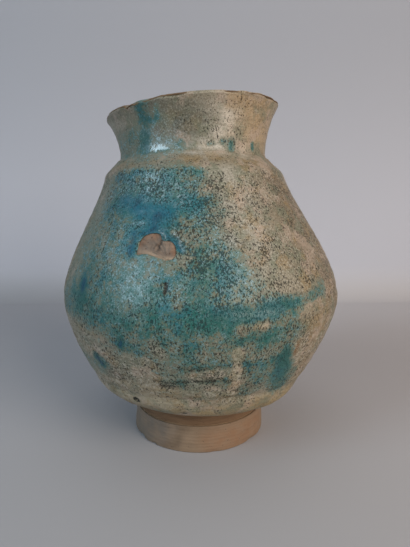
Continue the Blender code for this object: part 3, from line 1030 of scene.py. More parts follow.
bowl_ends = [on_jar(0.0, 0.0, height) for height in (FOOT_HEIGHT + JOINT_STEP + BASE_DOME, FLOOR_HEIGHT)]
bowl = ring_of("bowl_and_stem", bowl_profile(), BOWL_COLUMNS, turned_stem, bowl_ends)
print("bowl faces:", len(bowl.data.polygons))

# %% [markdown]
# A finish is a Principled shader fed by nodes. Wired by hand, a sum of three values is two nodes and
# four links, so one small class wraps a socket and lets Python's own arithmetic add the Math nodes. Any
# other node comes from one method, which takes its type, its settings and what goes into its sockets.

# %% Shader expressions
class Wire:
    """One output of a node. Arithmetic on it adds Math nodes to its finish."""

    def __init__(self, finish, socket):
        self.finish = finish
        self.socket = socket

    def maths(self, operation, *values):
        return self.finish.node("ShaderNodeMath", {"operation": operation}, dict(enumerate(values)))

    def __add__(self, other):
        return self.maths("ADD", self, other)

    __radd__ = __add__

    def __sub__(self, other):
        return self.maths("SUBTRACT", self, other)

    def __rsub__(self, other):
        return self.maths("SUBTRACT", other, self)

    def __mul__(self, other):
        return self.maths("MULTIPLY", self, other)

    __rmul__ = __mul__

    def most(self, other):
        return self.maths("MAXIMUM", self, other)

    def spread(self, low, high, top=1.0):
        """A soft step from 0 at one limit to the top value at the other."""
        sockets = {"Value": self, "From Min": low, "From Max": high, "To Max": top}
        return self.finish.node("ShaderNodeMapRange", {"interpolation_type": "SMOOTHSTEP"}, sockets)


print("operators of a wire:", [name for name in vars(Wire) if name.startswith("__")][3:])

# %% [markdown]
# The second class is the finish itself. It makes the material with its shader, adds the kinds of node
# that this jar needs, and feeds a socket with a wire or with a plain value. Places are measured in
# millimetres from the jar's own origin, so a grain of one size means the same on every piece.

# %% Finishes
class Finish:
    """A material in the making: its shader and the nodes that feed it."""

    def __init__(self, name):
        self.material = bpy.data.materials.new(name)
        self.material.use_nodes = True
        self.tree = self.material.node_tree
        self.shader = self.tree.nodes["Principled BSDF"]
        inside = self.node("ShaderNodeTexCoord", output="Object")
        self.place = self.vector("SCALE", inside, Scale=1.0 / MM)

    def node(self, kind, settings=None, sockets=None, output=0):
        """A new node with its settings and its sockets, as the wire of one of its outputs."""
        made = self.tree.nodes.new(kind)
        for name, value in (settings or {}).items():
            setattr(made, name, value)
        for name, value in (sockets or {}).items():
            self.feed(made.inputs[name], value)
        return Wire(self, made.outputs[output])

    def feed(self, socket, value):
        """A wire or a plain value into a socket."""
        if isinstance(value, Wire):
            self.tree.links.new(value.socket, socket)
        else:
            socket.default_value = value

    def vector(self, operation, *values, **named):
        """Arithmetic on vectors."""
        sockets = {**dict(enumerate(values)), **named}
        return self.node("ShaderNodeVectorMath", {"operation": operation}, sockets)

    def parts(self, vector):
        """The three parts of a vector."""
        made = self.node("ShaderNodeSeparateXYZ", None, {"Vector": vector})
        return [Wire(self, socket) for socket in made.socket.node.outputs]

    def grain(self, size, detail=2.0, roughness=0.5, output="Fac", place=None):
        """Cloudy random values from 0 to 1 with clouds of a size in millimetres."""
        sockets = {"Vector": place or self.place, "Scale": 1.0 / size}
        sockets.update({"Detail": detail, "Roughness": roughness})
        return self.node("ShaderNodeTexNoise", None, sockets, output)

    def cells(self, size, output="Distance", place=None):
        """Random cells of a size in millimetres: the distance from the middle, or each cell's colour."""
        sockets = {"Vector": place or self.place, "Scale": 1.0 / size}
        return self.node("ShaderNodeTexVoronoi", None, sockets, output)

    def painted(self, name, output="Fac"):
        """A value or a colour that was kept at the points of the mesh."""
        return self.node("ShaderNodeAttribute", {"attribute_name": name}, output=output)

    def mix(self, share, below, above):
        """One colour laid over another."""
        settings = {"data_type": "RGBA", "clamp_factor": True}
        return self.node("ShaderNodeMix", settings, {0: share, 6: below, 7: above}, 2)

    def bump(self, height, depth, strength):
        """A relief for the Normal socket, with its depth in millimetres."""
        sockets = {"Height": height, "Distance": depth * MM, "Strength": strength}
        return self.node("ShaderNodeBump", None, sockets)

    def done(self, **sockets):
        """Feeds the shader and gives the finished material."""
        for name, value in sockets.items():
            self.feed(self.shader.inputs[name.replace("_", " ")], value)
        return self.material


def paint(red, green, blue):
    """A colour from screen values of 0 to 255, as the linear colour that a shader takes."""
    def linear(value):
        share = value / 255.0
        return share / 12.92 if share <= 0.04045 else ((share + 0.055) / 1.055) ** 2.4

    return (linear(red), linear(green), linear(blue), 1.0)


print("half grey on the screen is a linear", round(paint(128, 128, 128)[0], 3))

# %% [markdown]
# The pattern of the glaze is put on as a maker would put it on, with brush strokes: so many degrees
# round from the front and so many millimetres up. An image could hold it, but then it couldn't be moved
# by changing a number. The strokes are worked out at every point of the mesh and kept there as named
# values, and the shader reads them back. A fine mesh carries such soft masks well, and the grain in the
# shader then breaks up their edges.

# %% Brush
BRUSH_CORE = 0.15
BRUSH_FADE = 1.85
BRUSH_WANDER = ((11.0, 1.7), (4.0, 1.4))
LEAN_ROUNDS = 4


def true_place(points):
    """The bearing, the radius and the height on the true form of points of the finished jar."""
    x, y, z = points.T
    true_x, height = x, z
    for _ in range(LEAN_ROUNDS):
        shift, slant = lean(true_x, height)
        true_x = x - shift
        height = z - slant * true_x
    return np.degrees(np.arctan2(true_x, -y)), np.hypot(true_x, y), height


class Canvas:
    """The points of one piece, ready for the brush."""

    def __init__(self, piece, wander=1.0):
        self.mesh = piece.data
        flat = np.empty(len(self.mesh.vertices) * 3)
        self.mesh.vertices.foreach_get("co", flat)
        self.points = flat.reshape(-1, 3) / MM
        self.bearing, self.radius, self.height = true_place(self.points)
        self.across = sum(wander * far * lumps(self.points, size, 61) for size, far in BRUSH_WANDER)
        self.up = sum(wander * far * lumps(self.points, size, 62) for size, far in BRUSH_WANDER)

    def gap(self, line):
        """The distance in millimetres of every point from a line of bearings and heights."""
        nearest = np.full(len(self.points), np.inf)
        for start, end in zip(line, line[1:] or line):
            across = np.radians(apart(self.bearing, start[0])) * self.radius + self.across
            up = self.height - start[1] + self.up
            run = np.radians(end[0] - start[0]) * self.radius
            rise = end[1] - start[1]
            reach = np.maximum(run**2 + rise**2, SHORTEST_STEP)
            share = np.clip((across * run + up * rise) / reach, 0.0, 1.0)
            nearest = np.minimum(nearest, np.hypot(across - share * run, up - share * rise))
        return nearest

    def brush(self, strokes):
        """How strongly strokes cover every point. A stroke is a half width, a strength and its places."""
        cover = np.zeros(len(self.points))
        for half_width, strength, *line in strokes:
            core, fade = BRUSH_CORE * half_width, BRUSH_FADE * half_width
            cover += (1.0 - cover) * strength * (1.0 - smooth(self.gap(line), core, fade))
        return cover

    def tinted(self, base, layers):
        """The colour at every point, from a base colour and layers of a colour and its strokes."""
        colours = np.tile(base[:3], (len(self.points), 1))
        for colour, strokes in layers:
            share = self.brush(strokes)[:, None]
            colours = (1.0 - share) * colours + share * np.array(colour[:3])
        return colours

    def keep(self, name, values):
        """Keeps one value or one colour for every point under a name that the shader can read."""
        kind, field = ("FLOAT", "value") if values.ndim == 1 else ("FLOAT_VECTOR", "vector")
        kept = self.mesh.attributes.new(name, kind, "POINT")
        kept.data.foreach_set(field, values.astype(np.float32).ravel())


coat_canvas = Canvas(coat)
steady_canvas = Canvas(coat, wander=0.0)
print("points to paint on the coat:", len(coat_canvas.points))

# %% [markdown]
# Where the copper glaze survives it is turquoise and glassy. It pooled on the shoulder above the scar,
# round the scar, along the crease at the belly and in a few drops lower down. The strength of a stroke
# is the share of the surface that stays turquoise under it, so a weak stroke comes out as a mottle of
# turquoise and pale skin. A stroke is written as its half width in millimetres, its strength, and its
# places as bearing and height.

# %% Turquoise on the neck and the shoulder, with one painted highlight
NECK_COPPER_AND_HIGHLIGHT = (
    (7, 0.26, (-62, 134), (-44, 136), (-34, 132)),
    (2.8, 0.6, (-31, 147), (-31, 140), (-33, 133), (-34, 129)),
    (1.4, 0.5, (-27, 142), (-21, 143.5), (-20, 146)),
    (3.5, 0.3, (-60, 128), (-40, 128.5), (-14, 128.5)),
    # Painted highlight: a faint stroke on the foot of the neck where the window's reflection falls.
    (3, 0.3, (-30, 131), (-16, 131.5)),
    (1.3, 0.35, (19, 132.6), (23, 132.8)),
    (1, 0.45, (-9, 132.2), (-7, 131.8)),
    (1, 0.4, (10, 131.5), (13, 131.3)),
)
SHOULDER_COPPER = (
    (8, 0.5, (-40, 113), (-24, 112), (-6, 113)),
    (3, 0.5, (-41, 120), (-30, 120.5), (-10, 120)),
    (4.5, 0.75, (-36, 109.5), (-24, 108), (-14, 105), (-4, 109)),
    (3.6, 0.8, (-24, 103), (-14, 103)),
    (3, 0.45, (-3, 117), (1, 110), (0, 104)),
    (7, 0.1, (-52, 116), (-52, 102)),
    (3.5, 0.3, (-28, 121.5), (-10, 121.5), (1, 121)),
    (5, 0.5, (-40, 116.5), (-22, 116.5), (-6, 116.5)),
    (5, 0.6, (-36, 110), (-20, 109.5), (-6, 110)),
    (4, 0.4, (-40, 104), (-31, 103)),
    (1.6, 0.4, (2, 119.8), (6, 120.4)),
    (1.5, 0.45, (6, 112.6), (8, 111)),
    (1.2, 0.45, (5, 118.4), (8, 118)),
    (3.2, 0.3, (2, 111), (7, 106)),
)
print("strokes on the neck and the shoulder:", len(NECK_COPPER_AND_HIGHLIGHT) + len(SHOULDER_COPPER))

# %% [markdown]
# Below the shoulder the turquoise is thinner. It hangs in veils down the middle, gathers along the
# crease at the belly, most of all right of the front, and survives lower down as single drops with
# trails.

# %% Turquoise on the bowls
MIDDLE_COPPER = (
    (13, 0.3, (-49, 94), (-46, 88), (-44, 76)),
    (8.5, 0.44, (-33, 97), (-30, 86), (-27, 76)),
    (7, 0.42, (-20, 82), (-14, 76)),
    (6, 0.5, (2, 100), (3, 90), (5, 82), (2, 74)),
    (3.2, 0.5, (-1, 84), (0, 78), (-1, 72)),
    (4.5, 0.4, (10, 88), (10, 80)),
    (3.4, 0.5, (-48.5, 80), (-48, 74)),
    (4, 0.45, (-56, 76), (-47, 73)),
    (7, 0.38, (-13, 84), (6, 84)),
    (9, 0.36, (-42, 81), (-12, 79), (10, 80)),
    (5, 0.18, (12, 80), (18, 80)),
    (6, 0.32, (-28, 74), (-6, 75)),
    (4, 0.35, (9, 92), (10, 86)),
)
BELLY_COPPER = (
    (5.5, 0.5, (-62, 71.5), (-48, 70), (-34, 68), (-18, 67.5), (0, 68.5), (9, 69.5)),
    (3.2, 0.5, (-38, 67.3), (-26, 67), (-10, 67.5), (0, 68)),
    (3.2, 0.45, (4, 69), (14, 69.5)),
    (3.5, 1, (2, 70.2), (16, 71.2), (28, 72.4)),
    (2.4, 0.9, (24, 72.7), (34, 73.5)),
    (2.2, 0.4, (33, 73.6), (42, 74.2), (50, 75.5)),
    (2.2, 0.75, (13, 62), (21, 62.6)),
    (3, 0.35, (10, 64), (26, 64)),
    (2, 0.3, (24, 67), (32, 68)),
    (4, 0.4, (24, 61), (34, 62)),
)
LOWER_COPPER = (
    (7, 0.24, (-30, 60), (-14, 59), (4, 60), (18, 58)),
    (9, 0.2, (-22, 50), (0, 50), (20, 50)),
    (1.9, 1, (-28.6, 58), (-27.6, 59)),
    (1.5, 0.5, (-25, 57.6), (-20, 55.5), (-15, 54)),
    (2.4, 0.6, (-42.6, 48.4), (-40, 46.8)),
    (1.2, 0.25, (-6, 51), (9, 51.2)),
    (1.6, 0.2, (-18, 43.3), (-8, 43.8), (4, 44.6), (11, 44.6)),
    (2.4, 0.3, (12, 41), (18, 39), (24, 39.5)),
    (4.2, 1, (31, 51.5), (33, 46)),
    (3.2, 0.6, (34, 43), (37, 37)),
    (1.2, 0.35, (40, 55), (45, 51)),
    (3.2, 0.45, (25, 51), (28, 45)),
    (3.6, 0.35, (37, 46), (41, 42)),
    (5, 0.25, (-57, 44), (-46, 44)),
    (3, 0.35, (30, 39.5), (34, 38)),
    (3, 0.45, (17, 50), (22, 46)),
    (3, 0.25, (-11, 60), (-4, 58)),
)
FRONT_COPPER = NECK_COPPER_AND_HIGHLIGHT + SHOULDER_COPPER + MIDDLE_COPPER + BELLY_COPPER + LOWER_COPPER
print("strokes of turquoise:", len(FRONT_COPPER))

# %% [markdown]
# Three more lists are laid with a steady hand or taken away again: small spots of turquoise, places
# where the skin is worn back to cream, and the deep pools, where the glaze lies so thick that it is
# nearly navy.

# %% Small spots, worn places and deep pools
SMALL_COPPER = (
    (1.5, 0.86, (27.9, 133), (27, 131.2)),
    (1, 0.8, (48.2, 133), (48.4, 132.2)),
    (0.8, 0.6, (20.4, 133.2), (21.6, 132.6)),
    (3.3, 0.95, (-47.2, 80), (-46.8, 76)),
    (1.7, 1, (-28.6, 57.4), (-27.8, 59.2)),
    (2.2, 1, (-43.8, 48.4), (-42.2, 46.2)),
    (2.6, 0.85, (-28, 99), (-23, 101), (-16, 101.6), (-9, 100.4)),
    (2.8, 0.75, (-28.5, 100), (-29.5, 95), (-28, 90)),
    (2, 0.4, (-25, 87.5), (-18, 87), (-11, 86)),
    (1.8, 0.9, (-25, 91), (-24.6, 95.5), (-21.5, 98.8), (-16, 99.6), (-13.2, 98.4)),
    (1.7, 0.9, (-13.6, 98.6), (-11.8, 96.8), (-8.4, 95.8), (-6.8, 92.6)),
    (5, 0.45, (-3, 102), (0, 92)),
)
WORN = (
    (1.8, 0.6, (12, 58), (13, 49), (11.5, 40)),
    (2.6, 0.7, (-13, 56.6), (-18, 53)),
    (4, 0.7, (-26, 50), (-20, 44)),
    (3, 0.7, (44, 50), (40, 56)),
    (2.4, 0.7, (13, 66), (20, 67)),
    (2, 0.6, (-6, 96), (-5, 88)),
    (1.8, 0.6, (-2, 114.6), (4, 113.4)),
    (1.5, 0.5, (-4, 118.6), (1, 118)),
    (2.4, 0.6, (-2, 46.6), (6, 47.4)),
)
DEEP_POOLS = (
    (1, 0.5, (27.6, 132.8), (27, 131.8)),
    (3.4, 0.8, (-27, 108.5), (-18, 105), (-12, 104.5)),
    (1.7, 0.9, (-22.4, 98.2), (-17, 99.5), (-12.6, 98.4)),
    (2.4, 0.8, (-18, 101.5), (-16.6, 104.5)),
    (1.5, 0.9, (-26.4, 98), (-26.6, 91)),
    (1.1, 0.9, (-11.4, 97), (-8, 95.6), (-6.4, 92.6)),
    (2, 0.8, (-38, 111), (-29, 110.5)),
    (1.6, 0.45, (-48, 119.4), (-41, 119.4)),
    (3.2, 0.95, (-47.2, 79.6), (-46.8, 76.4)),
    (1.6, 1, (-28.6, 57.4), (-27.8, 59.2)),
    (2, 1, (-43.8, 48.4), (-42.2, 46.2)),
    (3.6, 0.78, (31, 51.5), (33, 46)),
    (2.4, 0.4, (34, 43), (36, 38)),
    (2.5, 0.8, (4, 70.4), (16, 71.3), (30, 72.8)),
    (2.6, 0.62, (-30.5, 147), (-30.8, 140), (-33, 133)),
    (1.8, 0.4, (-2, 82), (0, 74)),
    (1.3, 0.5, (13, 61.8), (20, 62.2)),
)
print("spots:", len(SMALL_COPPER), "worn:", len(WORN), "deep:", len(DEEP_POOLS))

# %% [markdown]
# The photograph doesn't show the sides and the back. One dip and one damp ground made both faces of the
# jar, so the back gets the front's strokes again: mirrored, moved and weakened by random draws from a
# fixed seed. Broad pale washes and a broken band along the crease join the two at the sides.

# %% Strokes for the sides and the back
BACK_SEED = 9
BACK_SHIFT = 9.0
BACK_LIFT = 4.0
BACK_STRENGTH = (0.55, 0.95)
SIDE_BAND_STEP = 10
SIDE_BAND_LAP = 2.0
SIDE_WASHES = 14


def mirrored(strokes, draw):
    """The front's strokes on the back, each moved and weakened a little."""
    moved = []
    for half_width, strength, *line in strokes:
        aside, lift = draw.uniform(-BACK_SHIFT, BACK_SHIFT), draw.uniform(-BACK_LIFT, BACK_LIFT)
        places = [(180.0 - bearing + aside, height + lift) for bearing, height in line]
        moved.append((half_width, strength * draw.uniform(*BACK_STRENGTH), *places))
    return moved


def side_strokes(draw):
    """A broken band along the crease and soft washes at both sides."""
    strokes = []
    for start in (*range(50, 125, SIDE_BAND_STEP), *range(235, 310, SIDE_BAND_STEP)):
        ends = (start - SIDE_BAND_LAP, start + SIDE_BAND_STEP + SIDE_BAND_LAP)
        places = [(bearing, float(crease_height(bearing)) + draw.uniform(-2.0, 1.0)) for bearing in ends]
        strokes.append((draw.uniform(1.6, 4.5), draw.uniform(0.15, 0.6), *places))
    for _ in range(SIDE_WASHES):
        bearing = draw.choice((90.0, 270.0)) + draw.uniform(-35.0, 35.0)
        height = draw.uniform(40.0, 118.0)
        places = ((bearing, height), (bearing + 3.0, height - draw.uniform(4.0, 18.0)))
        strokes.append((draw.uniform(4.0, 11.0), draw.uniform(0.15, 0.5), *places))
    return strokes


back_draw = random.Random(BACK_SEED)
BACK_COPPER = mirrored(FRONT_COPPER, back_draw) + side_strokes(back_draw)
BACK_POOLS = mirrored(DEEP_POOLS, back_draw)
print("strokes for the sides and the back:", len(BACK_COPPER) + len(BACK_POOLS))

# %% [markdown]
# Now the strokes are laid on the coat. Those of the front fade out where those of the back come in, and
# the smooth roll under the neck stays nearly free of turquoise. Broad strokes wander a little off their
# lines, as a wash does, and the steady brush lays the small spots and the deep pools exactly in their
# places.

# %% Turquoise on the coat
FRONT_LIMIT = (68.0, 88.0)
FRONT_FADE = 0.6
ROLL_MIDDLE = 125.8
ROLL_CLEAR = (2.0, 4.6)
ROLL_FADE = 0.6
ROLL_RAGGED = 0.8
WORN_FADE = 0.6

unseen = smooth(np.abs(coat_canvas.bearing), *FRONT_LIMIT)
front = coat_canvas.brush(FRONT_COPPER) * (1.0 - FRONT_FADE * unseen)
copper = np.maximum(front, coat_canvas.brush(BACK_COPPER) * unseen)
ragged = ROLL_RAGGED * lumps(coat_canvas.points, 6.0, 95)
on_roll = 1.0 - smooth(np.abs(coat_canvas.height + ragged - ROLL_MIDDLE), *ROLL_CLEAR)
copper = copper * (1.0 - ROLL_FADE * on_roll) - WORN_FADE * coat_canvas.brush(WORN)
copper = np.maximum(copper, steady_canvas.brush(SMALL_COPPER))
pool = np.maximum(steady_canvas.brush(DEEP_POOLS), coat_canvas.brush(BACK_POOLS) * unseen)
coat_canvas.keep("copper", copper)
coat_canvas.keep("pool", pool)
print(f"turquoise over {copper.mean():.0%} of the coat, pools over {pool.mean():.0%}")

# %% [markdown]
# Everywhere else the glaze has turned to an opaque skin. It is pale cream on the upper right, warmer at
# the right edge, greyer and greener at the left and round the pools, and stained ochre and brown where
# iron came through. Three pale bands on the neck are painted light: painted light along the foot of the
# neck and a painted highlight on its right. The tints are broad strokes in their own colours, laid over
# the cream one after another.

# %% Tints of the skin, with painted light on the neck
CREAM = paint(150, 142, 123)


def tint(red, green, blue, *strokes):
    """A colour and the strokes that lay it on."""
    return paint(red, green, blue), strokes


SKIN_TINTS_WITH_PAINTED_LIGHT = (
    tint(165, 160, 146, (9, 0.9, (12, 116), (16, 106), (20, 96))),
    # Painted light: the next two bands are painted light where the foot of the neck catches it, and the
    # third is a painted highlight on the right of the neck.
    tint(176, 180, 174, (2.6, 0.9, (-66, 129.5), (-30, 130.5), (-5, 130), (14, 130))),
    tint(198, 194, 182, (3.4, 0.9, (6, 130.5), (26, 132), (46, 132))),
    tint(214, 204, 188, (7, 0.9, (12, 138), (20, 140), (36, 136))),
    tint(121, 103, 80, (12, 0.9, (58, 118), (60, 95), (60, 75)), (9, 0.5, (44, 112), (42, 92))),
    tint(182, 156, 122, (8, 0.9, (45, 140), (75, 140)), (2.5, 0.8, (24, 147), (60, 147))),
    tint(119, 120, 104, (14, 0.9, (-66, 112), (-64, 92), (-66, 70))),
    tint(142, 136, 116, (8, 0.9, (-70, 138), (-42, 137))),
    tint(94, 97, 86, (7, 0.95, (-19, 141), (2, 140)), (2.4, 0.4, (-62, 147.5), (-20, 147.5))),
    tint(140, 127, 104, (2.8, 0.9, (15, 125.8), (40, 125.8), (80, 125.6))),
    tint(150, 134, 112, (2.8, 0.95, (-80, 125.6), (-40, 125.6), (5, 125.8))),
    tint(118, 117, 96, (4, 0.8, (-24, 85), (-10, 85))),
    tint(136, 142, 132, (4.5, 0.7, (7, 102), (12, 92), (17, 80))),
    tint(114, 117, 101, (8, 0.8, (-16, 55), (4, 52), (22, 52)), (5, 0.6, (-10, 44), (16, 42))),
    tint(164, 148, 120, (4.5, 0.85, (-44, 38), (-26, 37), (-10, 36))),
    tint(148, 134, 110, (9, 0.8, (-62, 62), (-56, 45)), (6, 0.6, (-60, 27), (0, 27), (60, 27))),
    tint(138, 117, 86, (9, 0.7, (46, 62), (54, 50), (50, 38))),
    tint(
        132, 106, 58,
        (2.4, 0.7, (16, 92), (18, 88)),
        (3, 0.6, (31, 58), (36, 55)),
        (3.2, 0.75, (-50, 64), (-38, 61.6)),
    ),
    tint(112, 78, 42, (1.2, 0.8, (23, 70), (23.2, 63)), (1.4, 0.7, (36, 58), (37, 53))),
    tint(
        196, 164, 140,
        (0.8, 0.9, (1, 117), (8, 115.8)),
        (1.1, 0.9, (12.2, 68), (12.6, 62.5)),
        (0.7, 0.8, (-41, 51.6), (-31, 51.4)),
    ),
    tint(108, 118, 112, (2.2, 0.8, (-24, 88.4), (-16, 88), (-8, 86.6))),
    tint(74, 68, 44, (2.6, 0.9, (-43, 42.2), (-35, 42.6)), (1.5, 0.5, (-31, 45), (-27, 46))),
    tint(178, 156, 114, (3.8, 0.9, (-8, 28.5), (24, 28), (46, 29))),
    tint(178, 166, 140, (3.2, 0.9, (-64, 30), (-38, 30.5), (-20, 31.5), (-6, 30.5))),
    tint(192, 178, 150, (2, 0.6, (12, 58), (13, 49), (11.5, 40)), (2.2, 0.7, (15, 67.5), (21, 67))),
    tint(46, 58, 52, (0.9, 0.9, (-18, 43.6), (-8, 44.2), (11, 44.8)), (0.7, 0.8, (-8, 51), (9, 51.2))),
    tint(58, 66, 56, (0.7, 0.8, (-17, 41.8), (-6, 42.2)), (0.6, 0.6, (-4, 47.6), (8, 48))),
    tint(
        118, 112, 74,
        (2, 0.6, (24, 66), (40, 64)),
        (2.4, 0.5, (-34, 62), (-24, 63)),
        (1.6, 0.5, (4, 39), (14, 36)),
    ),
)
BACK_TINTS = (paint(150, 136, 110), paint(128, 128, 112), paint(172, 162, 144), paint(138, 116, 84))
BACK_TINT_SHARE = 0.8


def skin_tint_with_painted_light(canvas, unseen):
    """The skin's colour at every point, with painted light on the neck, and clouds of tints where the
    camera didn't see it.
    """
    seen = canvas.tinted(CREAM, SKIN_TINTS_WITH_PAINTED_LIGHT)
    behind = np.tile(CREAM[:3], (len(canvas.points), 1))
    for seed, colour in enumerate(BACK_TINTS):
        cloud = lumps(canvas.points, 30.0, 71 + seed) + 0.5 * lumps(canvas.points, 9.0, 81 + seed)
        share = smooth(cloud, 0.0, 0.5)
        behind = behind + BACK_TINT_SHARE * share[:, None] * (np.array(colour[:3]) - behind)
    return seen + unseen[:, None] * (behind - seen)


coat_canvas.keep("skin_with_painted_light", skin_tint_with_painted_light(coat_canvas, unseen))
print("tints at the front:", len(SKIN_TINTS_WITH_PAINTED_LIGHT), "at the back:", len(BACK_TINTS))

# %% [markdown]
# The skin is full of burst bubbles. Seen close they are dark pits well under a millimetre wide, thick
# in some places and nearly absent in others. How many there are is brushed on too: crowds of them, a
# few on the neck, and calm places that have hardly any. The smooth roll under the neck has none, and
# the turquoise has more than the skin.

# %% Pits
PIT_CROWDS = (
    (8, 0.6, (9, 117), (20, 112), (32, 114)),
    (9, 0.75, (12, 106), (22, 97), (28, 88)),
    (4, 0.9, (-7, 99), (-5, 90), (-2, 84)),
    (6, 0.5, (2, 90), (10, 80)),
    (4, 0.5, (-40, 115), (0, 116)),
    (6, 0.25, (-10, 140), (10, 138), (30, 136)),
    (1.3, 0.9, (-46, 121.8), (-20, 122), (6, 121.8)),
    (5, 0.6, (22, 57), (36, 58)),
    (8, 0.5, (-14, 56), (10, 46), (20, 40)),
    (4, 0.5, (18, 79), (36, 80)),
)
NECK_PITS = (
    (5, 0.58, (12, 146.5), (16, 138), (19, 133)),
    (4, 0.42, (28, 146), (31, 137)),
    (5, 0.3, (-8, 142), (4, 138)),
)
CALM = (
    (9, 0.8, (-56, 98), (-52, 80)),
    (8, 0.75, (-33, 93), (-26, 78)),
    (4, 0.9, (-25, 85.5), (-11, 85.5)),
    (5, 0.6, (-34, 109), (-14, 104)),
)
PIT_BASE = 0.18
PIT_CLOUD = 12.0
PIT_CLOUD_SHARE = 0.35
PIT_CROWD_SHARE = 0.5
BACK_PIT_BASE = 0.35
BACK_PIT_SHARE = 0.8
COPPER_PITS = 0.42
NECK_CALM = 0.7
RIM_CALM = 0.35
CALM_SHARE = 0.7

cloud_crowd = BACK_PIT_BASE + BACK_PIT_SHARE * lumps(coat_canvas.points, PIT_CLOUD, 91)
front_crowd = PIT_BASE + PIT_CLOUD_SHARE * lumps(coat_canvas.points, PIT_CLOUD, 92)
front_crowd = front_crowd + PIT_CROWD_SHARE * coat_canvas.brush(PIT_CROWDS)
crowd = front_crowd + unseen * (cloud_crowd - front_crowd) + COPPER_PITS * copper
on_neck = smooth(coat_canvas.height, 126.0, 130.0) * (1.0 - coat_canvas.brush(NECK_PITS))
on_rim = 1.0 - smooth(coat_canvas.height, 30.0, 36.0)
crowd = crowd * (1.0 - on_roll) - NECK_CALM * on_neck - RIM_CALM * on_rim
crowd = crowd - CALM_SHARE * coat_canvas.brush(CALM)
coat_canvas.keep("crowd", crowd)
print(f"pits in up to {crowd.max():.0%} of the cells")

# %% [markdown]
# The gloss is best kept on the neck, the shoulder and the belly at the left. A few bubbles burst wide,
# and thin dark lines run round the lower bowl. A film of pale bloom lies over some of the turquoise, laid
# on thicker as painted highlights where the window's reflection falls on the neck, the shoulder and the
# belly at the left, and the broken edge of the glaze at the right of the scar gets a pale painted
# highlight line. All of these are strokes as well.

# %% Gloss, bursts, bloom and painted highlights
GLOSS = (
    (7, 1, (-29, 133), (-14, 133)),
    (8, 0.7, (-46, 112), (-10, 110)),
    (9, 0.2, (-34, 84), (-22, 79)),
    (2, 0.9, (-12, 101), (-6, 97), (-5, 92)),
)
BURSTS = (
    (0.8, 1, (-11.5, 81.4), (-11.7, 78.4)),
    (1.1, 1, (-31, 30.8), (-29.6, 30.4)),
    (0.8, 0.9, (-7.4, 27.3), (-6.6, 27.2)),
    (0.8, 0.8, (21.5, 76.2), (21.6, 76)),
    (0.7, 0.8, (18.5, 76.6), (18.6, 76.4)),
)
DARK_LINES = (
    (1.2, 0.6, (-18, 43.6), (-8, 44.2), (11, 44.8)),
    (0.6, 0.55, (-17, 41.8), (-6, 42.2)),
    (0.9, 0.52, (-8, 51), (9, 51.2)),
)
# Pale bloom, and painted highlights: the strokes at the left of the neck, the shoulder and the belly lay it
# on thick where the window's reflection falls, and the thin lines at the scar are a painted highlight on
# the glaze's broken edge.
BLOOM_AND_HIGHLIGHT_STROKES = (
    (7.5, 0.52, (-35, 93), (-30, 85), (-24, 77)),
    (5, 0.8, (-38, 116), (-20, 116.5), (-6, 115.5)),
    (4.5, 0.8, (-28, 132), (-14, 132)),
    (8, 0.12, (-52, 110), (-50, 92)),
    (6, 0.5, (-20, 82), (-8, 80)),
    (4, 0.5, (4, 104), (8, 94)),
    (5, 0.4, (11, 92), (15, 82)),
    (0.7, 1, (-15.4, 99.4), (-13, 98), (-12.4, 96.8)),
    (0.7, 1, (-10.2, 98.6), (-8, 97.4), (-6.6, 95.6)),
    (0.7, 1, (-7.2, 95), (-5.6, 92.4)),
    (6, 0.4, (-27, 136), (-17, 136)),
)
COPPER_GLOSS = 0.06

gloss = np.maximum(coat_canvas.brush(GLOSS), COPPER_GLOSS * copper)
coat_canvas.keep("gloss", gloss)
coat_canvas.keep("burst", np.maximum(steady_canvas.brush(BURSTS), coat_canvas.brush(DARK_LINES)))
coat_canvas.keep("bloom_and_highlight", steady_canvas.brush(BLOOM_AND_HIGHLIGHT_STROKES))
print(f"gloss over {gloss.mean():.0%} of the coat")

# %% [markdown]
# The glaze's finish puts all of this together. It is built up as the glaze itself came to be: skin,
# turquoise, bloom, pits and gloss. One long function could do it, but in steps each layer can be read
# by itself. First come what the brush left on the coat, four sizes of grain from half a millimetre to
# over a centimetre, and zones by height, because the neck, the shoulder and the lower bowl weathered in
# different ways.

# %% Grain and zones of the glaze
def glaze_start():
    """The glaze's finish with what was brushed on, its grain from fine to slow, and its zones by height."""
    g = Finish("weathered_turquoise_glaze")
    g.copper, g.pool, g.crowd, g.gloss = (g.painted(name) for name in ("copper", "pool", "crowd", "gloss"))
    g.fine = g.grain(0.6, 2.0, 0.6)
    g.middling = g.grain(1.6, 3.0, 0.65)
    g.blotch = g.grain(5.0, 3.0, 0.6)
    g.slow = g.grain(13.0, 3.0)
    _, _, height = g.parts(g.place)
    g.neck = height.spread(126.0, 131.0)
    g.low = height.spread(66.0, 58.0) * height.spread(30.0, 38.0)
    g.upper = height.spread(70.0, 90.0) * (1 - g.neck)
    g.green, g.pink, g.ochre = g.parts(g.grain(8.0, 3.0, 0.6, "Color"))
    return g


glaze_finish = glaze_start()
print("nodes before any colour:", len(glaze_finish.tree.nodes))

# %% [markdown]
# The old skin comes first. Its brushed tint, painted light on the neck included, is clouded with green,
# ochre and pink, turns grey near the turquoise, and carries dull stains drawn out round the jar. Two
# sizes of grain then leave dull hollows and pale flakes in it, more of them where the pits are thick.

# %% Old skin, with painted light on the neck
GREEN_SKIN = paint(114, 119, 98)
OCHRE_SKIN = paint(146, 122, 82)
PINK_SKIN = paint(184, 163, 146)
GREY_SKIN = paint(122, 129, 116)
DULL_SKIN = paint(98, 90, 70)
PALE_FLAKE = paint(206, 198, 182)
STAIN_STRETCH = (0.22, 0.22, 1.3)


